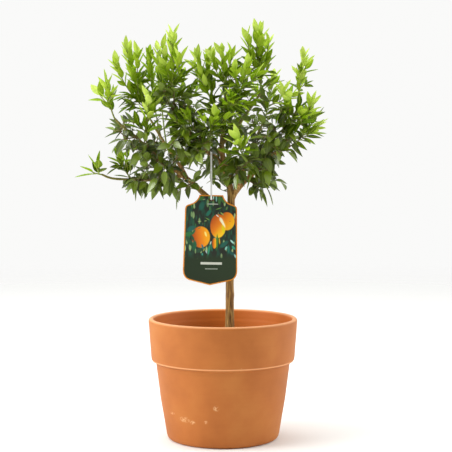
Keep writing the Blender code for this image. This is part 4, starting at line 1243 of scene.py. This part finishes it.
@dataclass
class Canopy:
    """All the leafy shoots of the tree."""

    # Radii of a shoot's own twig and of its side twigs, each at its foot and at its tip
    twig_halves: tuple[float, float] = (1.35, 0.8)
    side_halves: tuple[float, float] = (1.05, 0.7)
    twig_sides: int = 6
    twig_step: float = 3.0
    # A twig bends at these shares of its reach outwards and upwards
    bend_out: float = 0.62
    bend_up: float = 0.34
    # The share of a side twig below its leaves
    side_bare: float = 0.08
    # Spurs are short leafy side twigs: on the shoots, and straight on the limbs
    spur_spacing: float = 15.0
    spur_half: float = 0.55
    spur_youth: float = 0.3
    limb_spur_spacing: float = 9.0
    # Heights below which the limbs and the trunk have none, and how far beyond its foot a limb's first one is
    bare_height: float = 418.0
    bare_trunk: float = 474.0
    bare_reach: float = 12.0
    # Further from the pot's axis than the first of these, limbs have spurs below the bare height too, and further
    # than the second they have none
    leafy_span: tuple[float, float] = (112.0, 158.0)
    spur_lengths: tuple[float, float] = (14.0, 26.0)
    spur_turn_spread: float = 0.5
    # This year's twigs have spurs up to this share of the way to their tips
    young_spur_top: float = 0.4
    # How far beyond its bare foot a twig's first leaf is
    first_leaf: float = 2.0
    # Two short twigs low on the trunk, each from its root to its tip
    trunk_twigs: tuple[tuple[Point, Point], ...] = (((8, -3, 397), (-9, -10, 405)), ((6, 0, 405), (-10, 4, 421)))
    # How much of the way from the twig's direction to straight up a leaf's upper side turns
    light_share: float = 0.6
    # How a leaf's length, width, droop and fold vary, as shares of its shoot's usual ones
    length_spread: tuple[float, float] = (0.82, 1.12)
    width_spread: tuple[float, float] = (0.9, 1.12)
    droop_spread: tuple[float, float] = (0.3, 1.7)
    fold_spread: tuple[float, float] = (0.5, 1.4)
    # How far a leaf's shade, tilt and turn stray
    shade_spread: float = 0.09
    tilt_spread: float = 0.12
    turn_spread: float = 0.25
    # Other turns and tilts that are tried for each leaf, in radians
    tries: tuple[Point, ...] = ((0.0, 0.0), (0.5, 0.0), (-0.5, 0.0), (0.9, 0.15), (-0.9, -0.15))
    limb_seed: int = 7
    first_seed: int = 100
    blade: Blade = field(default_factory=Blade)
    room: Room = field(default_factory=Room)
    leaves: int = 0

    def twig_route(self, base: Vector, tip: Vector) -> list[Vector]:
        """The middle line of a twig that starts outwards and turns up to its tip.

        Args:
            base: Where it starts.
            tip: Where it ends.

        Returns:
            Points about a step apart.
        """
        reach = tip - base
        bend = base + Vector((reach.x * self.bend_out, reach.y * self.bend_out, reach.z * self.bend_up))
        count = max(4, round(reach.length / self.twig_step))
        shares = [number / count for number in range(count + 1)]
        return [base * (1 - t) ** 2 + bend * (2 * t * (1 - t)) + tip * t ** 2 for t in shares]

    def covers_card(self, leaf: Leaf) -> bool:
        """Whether a leaf would pass through the card or its strap, or hang before them."""
        return any(within(leaf.middle(share), CLEAR_BOXES) for share in (0.3, 0.6, 0.8, 1.0))

    def leaf_at(self, place: Vector, ahead: Vector, across: Vector, turn: float, tilt: float, share: float,
                shoot: Shoot, youth: float, rng: random.Random) -> Leaf:
        """The leaf that grows from a point of a twig at a turn about it and a tilt away from it.

        Args:
            place: The leaf's foot.
            ahead: Which way the twig runs there.
            across: The direction that turns start from.
            turn: The leaf's turn about the twig, in radians.
            tilt: Its angle from the twig, in radians.
            share: How far up the twig it is.
            shoot: The shoot that it belongs to.
            youth: How pale the leaves of this twig are beside others.
            rng: Where its variety comes from.

        Returns:
            The leaf.
        """
        out = square_to(ahead, across, turn)
        heading = (ahead * math.cos(tilt) + out * math.sin(tilt)).normalized()
        light = ahead.lerp(UP, self.light_share)
        upper = light - heading * light.dot(heading)
        if upper.length < 0.1:
            upper = out.cross(heading) + across * 0.1
        upper = (upper - heading * upper.dot(heading)).normalized()
        habit = shoot.age.value
        upper = Matrix.Rotation(rng.gauss(0.0, math.radians(habit.roll)), 3, heading) @ upper
        fullness = math.sin(math.pi * (0.18 + 0.5 * share))
        usual = habit.tip_leaf + (habit.leaf - habit.tip_leaf) * fullness
        length = usual * rng.uniform(*self.length_spread) * shoot.size
        low, high = habit.shade
        shade = (low + (high - low) * share) * youth + rng.gauss(0.0, self.shade_spread)
        half_width = length * habit.slimness / 2 * rng.uniform(*self.width_spread)
        droop = habit.droop * rng.uniform(*self.droop_spread)
        fold = math.radians(habit.fold) * rng.uniform(*self.fold_spread)
        return Leaf(place, heading, upper, length, half_width, droop, fold, min(1.0, max(0.0, shade)))

    def clothe(self, bm: BMesh, route: Sequence[Vector], shoot: Shoot, bare: float, youth: float,
               rng: random.Random) -> None:
        """Set leaves along a twig, closer together towards its tip, each where there is most room.

        Args:
            bm: The shoot's mesh.
            route: The twig's middle line.
            shoot: The shoot that it belongs to.
            bare: The share of the twig below its leaves.
            youth: How pale its leaves are beside others.
            rng: Where the leaves' variety comes from.
        """
        habit = shoot.age.value
        length = length_of(route)
        across = (route[1] - route[0]).orthogonal().normalized()
        at = bare * length + self.first_leaf
        number = rng.randrange(5)
        while at <= length:
            share = at / length
            index = min(int(share * (len(route) - 1)), len(route) - 2)
            place = route[index].lerp(route[index + 1], share * (len(route) - 1) - index)
            ahead = (route[index + 1] - route[index]).normalized()
            across = (across - ahead * across.dot(ahead)).normalized()
            tilt = math.radians(habit.low_tilt + (habit.high_tilt - habit.low_tilt) * share)
            tilt += rng.gauss(0.0, self.tilt_spread)
            turn = GOLDEN_TURN * number + rng.uniform(-self.turn_spread, self.turn_spread)
            choices = [self.leaf_at(place, ahead, across, turn + more, tilt + lean, share, shoot, youth, rng)
                       for more, lean in self.tries]
            best = max(choices, key=lambda leaf: self.room.clearance(leaf.middle(s) for s in (0.45, 0.8)))
            if not self.covers_card(best):
                self.blade.grow(bm, best)
                self.room.add(best.middle(s) for s in (0.3, 0.6, 0.9))
                self.leaves += 1
            number += 1
            at += habit.spacing * shoot.gap * (1.2 - 0.65 * share)

    def spurs(self, route: Sequence[Vector], age: Age, bare: float, rng: random.Random) -> list[list[Vector]]:
        """Short leafy side twigs up a twig, on the lower part only where it is this year's.

        Args:
            route: The twig's middle line.
            age: Its shoot's age.
            bare: The share of it below its leaves.
            rng: Where the side twigs' variety comes from.

        Returns:
            Their middle lines.
        """
        length = length_of(route)
        count = int(length / self.spur_spacing)
        found = []
        for number in range(count):
            share = (number + rng.uniform(0.4, 0.9)) / count
            if share < bare or age is Age.FLUSH and share > self.young_spur_top:
                continue
            index = min(int(share * (len(route) - 1)), len(route) - 2)
            ahead = route[index + 1] - route[index]
            found.append(self.spur(route[index], ahead, number, 0.6, 0.2, rng))
        return found

    def spur(self, place: Vector, ahead: Vector, number: int, forward: float, lift: float,
             rng: random.Random) -> list[Vector]:
        """One short side twig.

        Args:
            place: Where it stands.
            ahead: Which way the stem runs there.
            number: Which of the stem's side twigs it is: each next one stands a golden turn on.
            forward: How far it leans along the stem.
            lift: How far it leans upwards.
            rng: Where its turn and its length come from.

        Returns:
            Its middle line.
        """
        ahead = ahead.normalized()
        turn = GOLDEN_TURN * number + rng.uniform(-self.spur_turn_spread, self.spur_turn_spread)
        out = square_to(ahead, ahead.orthogonal().normalized(), turn)
        reach = (ahead * forward + out + UP * lift).normalized() * rng.uniform(*self.spur_lengths)
        return self.twig_route(place, place + reach)

    def limb_spurs(self, rng: random.Random) -> dict[str, list[list[Vector]]]:
        """Short leafy twigs that grow straight from the wood, each with the nearest older shoot.

        Args:
            rng: Where their variety comes from.

        Returns:
            Their middle lines, by the name of the shoot that they go with.
        """
        found = defaultdict(list)
        older = [shoot for shoot in SHOOTS if shoot.age is Age.MATURE]
        inner, outer = self.leafy_span
        for limb in (TRUNK, *LIMBS):
            route = [Vector(point[:3]) for point in smooth_route(limb.points, self.limb_spur_spacing)]
            bare = self.bare_trunk if limb is TRUNK else self.bare_height
            for number, (place, after) in enumerate(zip(route, route[1:])):
                low = place.z < bare and place.xy.length < inner
                at_foot = (place - route[0]).length < self.bare_reach
                if low or at_foot or within(place, BARE_BOXES) or place.xy.length > outer:
                    continue
                near = min(older, key=lambda shoot: (Vector(shoot.base) - place).length)
                found[near.name].append(self.spur(place, after - place, number, 0.3, 0.3, rng))
        found["shoot_label_side"] += [self.twig_route(Vector(root), Vector(tip)) for root, tip in self.trunk_twigs]
        return found

    def shoot(self, shoot: Shoot, limb_spurs: list[list[Vector]], rng: random.Random) -> Object:
        """One shoot: its twigs, then its leaves.

        Args:
            shoot: The shoot.
            limb_spurs: Middle lines of the twigs on the wood that go with it.
            rng: Where its variety comes from.

        Returns:
            The piece.
        """
        bm = leaf_mesh()
        routes = [self.twig_route(Vector(shoot.base), Vector(shoot.tip))]
        for share, tip in shoot.sides:
            routes.append(self.twig_route(routes[0][round(share * (len(routes[0]) - 1))], Vector(tip)))
        bares = [shoot.bare] + [self.side_bare] * len(shoot.sides)
        spurs = [spur for route, bare in zip(routes, bares) for spur in self.spurs(route, shoot.age, bare, rng)]
        spurs += limb_spurs
        bares += [self.side_bare] * len(spurs)
        halves = [self.twig_halves] + [self.side_halves] * len(shoot.sides) + [(self.spur_half,) * 2] * len(spurs)
        for route, (low, high) in zip(routes + spurs, halves):
            radii = [low + (high - low) * number / (len(route) - 1) for number in range(len(route))]
            grow_tube(bm, ring_frames(route, radii), self.twig_sides)
        bmesh.ops.recalc_face_normals(bm, faces=bm.faces)
        for face in bm.faces:
            face.smooth = True
            face.material_index = 2
        for number, (route, bare) in enumerate(zip(routes + spurs, bares)):
            youth = shoot.youth * (1.0 if number < len(routes) or shoot.age is Age.MATURE else self.spur_youth)
            self.clothe(bm, route, shoot, bare, youth, rng)
        habit = shoot.age.value
        return publish(bm, f"{shoot.name}_leaves", shoot.name, habit.finishes)

    def build(self) -> list[Object]:
        """Grow every shoot."""
        limb_spurs = self.limb_spurs(random.Random(self.limb_seed))
        pieces = [self.shoot(shoot, limb_spurs[shoot.name], random.Random(number))
                  for number, shoot in enumerate(SHOOTS, start=self.first_seed)]
        log.info("%d leaves", self.leaves)
        return pieces


# ---------------------------------------------------------------------------------------------------------
# The card and its strap


@dataclass
class Card:
    """The hanging plant card: a thin printed plastic card with an orange edge and a slot in its tab."""

    thickness: float = 0.8
    border: float = 1.9
    # How far the card's sides bow back, at this distance from its middle
    bow: float = 1.4
    bow_half: float = 44.0
    # Cuts across and down the card that let it bow
    cuts_across: range = range(-40, 41, 8)
    cuts_down: range = range(20, 140, 20)
    # Half of the outline, from the top of the tab round to the point: across, and down from the top
    half: tuple[Point, ...] = (
        (19.0, 0.0), (20.3, 4.0), (23.5, 8.7), (28.2, 12.6), (33.8, 14.9), (38.4, 16.6), (40.8, 19.0),
        (41.6, 22.5), (43.6, 121.0), (42.6, 127.6), (39.2, 133.2), (34.0, 136.6), (0.0, 144.5))
    slot_half: float = 4.0
    slot_span: tuple[float, float] = (6.3, 9.7)

    def build(self) -> Object:
        """Cut the card out, give it its edge and slot, and hang it."""
        shoulder = smooth_route(self.half[:7], 1.5) + [self.half[7]]
        corner = smooth_route(self.half[8:12], 1.5)
        right = shoulder + corner + [self.half[-1]]
        outline = [(x, -down) for x, down in right] + [(-x, -down) for x, down in reversed(right[:-1])]
        bm = bmesh.new()
        face = bm.faces.new([bm.verts.new((x, 0.0, z)) for x, z in outline])
        bm.normal_update()
        inset = bmesh.ops.inset_region(bm, faces=[face], thickness=self.border, use_boundary=True,
                                       use_even_offset=True)
        for rim in inset["faces"]:
            rim.material_index = 1
        cuts = [((x, 0, 0), (1, 0, 0)) for x in (-self.slot_half, self.slot_half, *self.cuts_across)]
        cuts += [((0, 0, -down), (0, 0, 1)) for down in (*self.slot_span, *self.cuts_down)]
        for place, normal in cuts:
            everything = [*bm.verts, *bm.edges, *bm.faces]
            bmesh.ops.bisect_plane(bm, geom=everything, dist=0.0001, plane_co=place, plane_no=normal)
        top, bottom = self.slot_span
        middles = [(face, face.calc_center_median()) for face in bm.faces]
        hole = [face for face, middle in middles if abs(middle.x) < self.slot_half and top < -middle.z < bottom]
        bmesh.ops.delete(bm, geom=hole, context="FACES")
        if next(iter(bm.faces)).normal.y > 0:
            bmesh.ops.reverse_faces(bm, faces=bm.faces)
        front = list(bm.faces)
        bmesh.ops.solidify(bm, geom=front, thickness=self.thickness)
        bm.normal_update()
        for face in bm.faces:
            if face.normal.y > 0.5 and face.material_index == 0:
                face.material_index = 2
            elif abs(face.normal.y) < 0.5:
                face.material_index = 1
        for vert in bm.verts:
            vert.co.y += -self.thickness / 2 + self.bow * (vert.co.x / self.bow_half) ** 2
        turn = Matrix.Translation(CARD_TOP) @ Matrix.Rotation(CARD_ROLL, 4, "Y")
        bmesh.ops.transform(bm, matrix=turn, verts=bm.verts)
        soften(bm, crease=30.0)
        return publish(bm, "plant_card", "label", [PRINT, CARD_EDGE, CARD_BACK])


@dataclass
class Strap:
    """The card's strap: a thin white band through the slot and over the front limb."""

    low: float = 384.5
    high: float = 476.0
    half: float = 6.2
    waist: float = 3.6
    width: float = 2.7
    thickness: float = 0.6
    arris: float = 0.12
    steps: int = 12

    def outline(self, inward: float) -> list[Point]:
        """The band's outer line, or a line inside it, as y and z.

        Args:
            inward: How far inside its outer line it is.

        Returns:
            The points, once round.
        """
        radius = self.half - inward
        middle = (self.low + self.high) / 2
        rise = (self.high - self.low) / 2 - self.half
        points = []
        for number in range(self.steps + 1):
            turn = math.pi * number / self.steps
            points.append((radius * math.cos(turn), middle + rise + radius * math.sin(turn)))
        for number in range(1, self.steps):
            share = math.cos(math.pi * number / self.steps)
            pinch = self.waist - inward + (self.half - self.waist) * share ** 2
            points.append((-pinch, middle + rise * share))
        return points + [(-y, 2 * middle - z) for y, z in points]

    def build(self) -> Object:
        """Bend the band round and finish it."""
        bm = bmesh.new()
        left, front = CARD_TOP[0] - self.width / 2, CARD_TOP[1]
        edges = []
        for inward in (0.0, self.thickness):
            verts = [bm.verts.new((left, front + y, z)) for y, z in self.outline(inward)]
            edges += [bm.edges.new(pair) for pair in zip(verts, verts[1:] + verts[:1])]
        side = bmesh.ops.bridge_loops(bm, edges=edges)["faces"]
        drawn = bmesh.ops.extrude_face_region(bm, geom=side, use_keep_orig=True)["geom"]
        moved = [item for item in drawn if isinstance(item, bmesh.types.BMVert)]
        bmesh.ops.translate(bm, vec=(self.width, 0.0, 0.0), verts=moved)
        bmesh.ops.recalc_face_normals(bm, faces=bm.faces)
        sharp = [edge for edge in bm.edges if edge.calc_face_angle(0.0) > math.radians(60)]
        bmesh.ops.bevel(bm, geom=sharp, offset=self.arris, affect="EDGES", segments=2, profile=0.5, material=-1)
        soften(bm)
        return publish(bm, "white_strap", "label_strap", [STRAP_WHITE])


# ---------------------------------------------------------------------------------------------------------
# The stage


class Lamp(NamedTuple):
    """A square soft light: where it is, what it points at, the length of its side, all in metres, and its watts."""

    name: str
    place: Point
    aim: Point
    side: float
    power: float


@dataclass
class Stage:
    """A pale floor that fades into a white surround, soft light from both sides, and the camera."""

    eye: Point = (4.9, -1910.0, 442.0)
    pitch: float = math.radians(2.99)
    lens: float = 94.6
    floor_radius: float = 9000.0
    floor_drop: float = 0.3
    floor_color: str = "#EFEFEC"
    # Distances from the pot between which the floor fades out, in metres
    floor_fade: tuple[float, float] = (0.9, 3.5)
    lamps: tuple[Lamp, ...] = (Lamp("window_left", (-2.2, -0.7, 1.4), (0.0, 0.0, 0.35), 1.6, 62.0),
                               Lamp("window_top", (-0.5, 0.3, 2.6), (0.0, 0.0, 0.5), 1.8, 36.0),
                               Lamp("window_right", (2.2, 0.1, 1.1), (0.0, 0.0, 0.3), 1.6, 28.0))
    # Brightness of the room on the card's side, behind the tree, and where the camera sees it
    room_front: float = 0.42
    room_back: float = 0.97
    room_seen: float = 0.955

    def floor(self) -> None:
        """Lay the floor."""
        bm = bmesh.new()
        bmesh.ops.create_circle(bm, cap_ends=True, segments=96, radius=self.floor_radius * MM,
                                matrix=Matrix.Translation((0.0, 0.0, -self.floor_drop * MM)))
        paint = bpy.data.materials.new("matt_floor_paint")
        paint.use_nodes = True
        tree = paint.node_tree
        shader = tree.nodes["Principled BSDF"]
        shader.inputs["Base Color"].default_value = linear(self.floor_color)
        shader.inputs["Roughness"].default_value = 0.9
        place = add(tree, "TexCoord").outputs["Object"]
        far = add(tree, "VectorMath", {0: place}, operation="LENGTH").outputs["Value"]
        near, gone = self.floor_fade
        fade = add(tree, "MapRange", {0: far, 1: near, 2: gone}, interpolation_type="SMOOTHSTEP").outputs[0]
        clear = add(tree, "BsdfTransparent")
        both = add(tree, "MixShader", {0: fade, 1: shader.outputs[0], 2: clear.outputs[0]})
        tree.links.new(both.outputs[0], tree.nodes["Material Output"].inputs["Surface"])
        obj = placed(bm, "studio_floor")
        obj.data.materials.append(paint)

    def hang(self, lamp: Lamp) -> None:
        """Hang a lamp.

        Args:
            lamp: The lamp.
        """
        data = bpy.data.lights.new(lamp.name, "AREA")
        data.size = lamp.side
        data.energy = lamp.power
        obj = bpy.data.objects.new(lamp.name, data)
        obj.location = lamp.place
        obj.rotation_euler = (Vector(lamp.aim) - Vector(lamp.place)).to_track_quat("-Z", "Y").to_euler()
        bpy.context.scene.collection.objects.link(obj)

    def surround(self) -> None:
        """Make the white room: bright behind and above, dimmer on the side that the card faces."""
        world = bpy.data.worlds.new("white_room")
        world.use_nodes = True
        tree = world.node_tree
        direction = add(tree, "TexCoord").outputs["Generated"]
        y = add(tree, "SeparateXYZ", {0: direction}).outputs[1]
        depth = add(tree, "MapRange", {0: y, 1: -0.9, 2: 0.3, 3: self.room_front, 4: self.room_back}).outputs[0]
        seen = add(tree, "LightPath").outputs["Is Camera Ray"]
        strength = add(tree, "Mix", {0: seen, 2: depth, 3: self.room_seen}, data_type="FLOAT").outputs[0]
        tree.links.new(strength, tree.nodes["Background"].inputs["Strength"])
        tree.nodes["Background"].inputs["Color"].default_value = linear("#FFFFFE")
        bpy.context.scene.world = world
        bpy.context.scene.view_settings.view_transform = "Standard"

    def build(self) -> None:
        """Set the stage."""
        self.floor()
        self.surround()
        for lamp in self.lamps:
            self.hang(lamp)
        camera = bpy.data.cameras.new("eye")
        camera.lens = self.lens
        obj = bpy.data.objects.new("eye", camera)
        obj.location = [share * MM for share in self.eye]
        obj.rotation_euler = (math.pi / 2 - self.pitch, 0.0, 0.0)
        bpy.context.scene.collection.objects.link(obj)
        bpy.context.scene.camera = obj


def main() -> None:
    """Build every piece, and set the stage."""
    logging.basicConfig(level=logging.INFO, format="%(message)s")
    pot = Pot()
    for part in (pot, Compost(pot), Wood(), Canopy(), Card(), Strap(), Stage()):
        part.build()


if __name__ == "__main__":
    main()
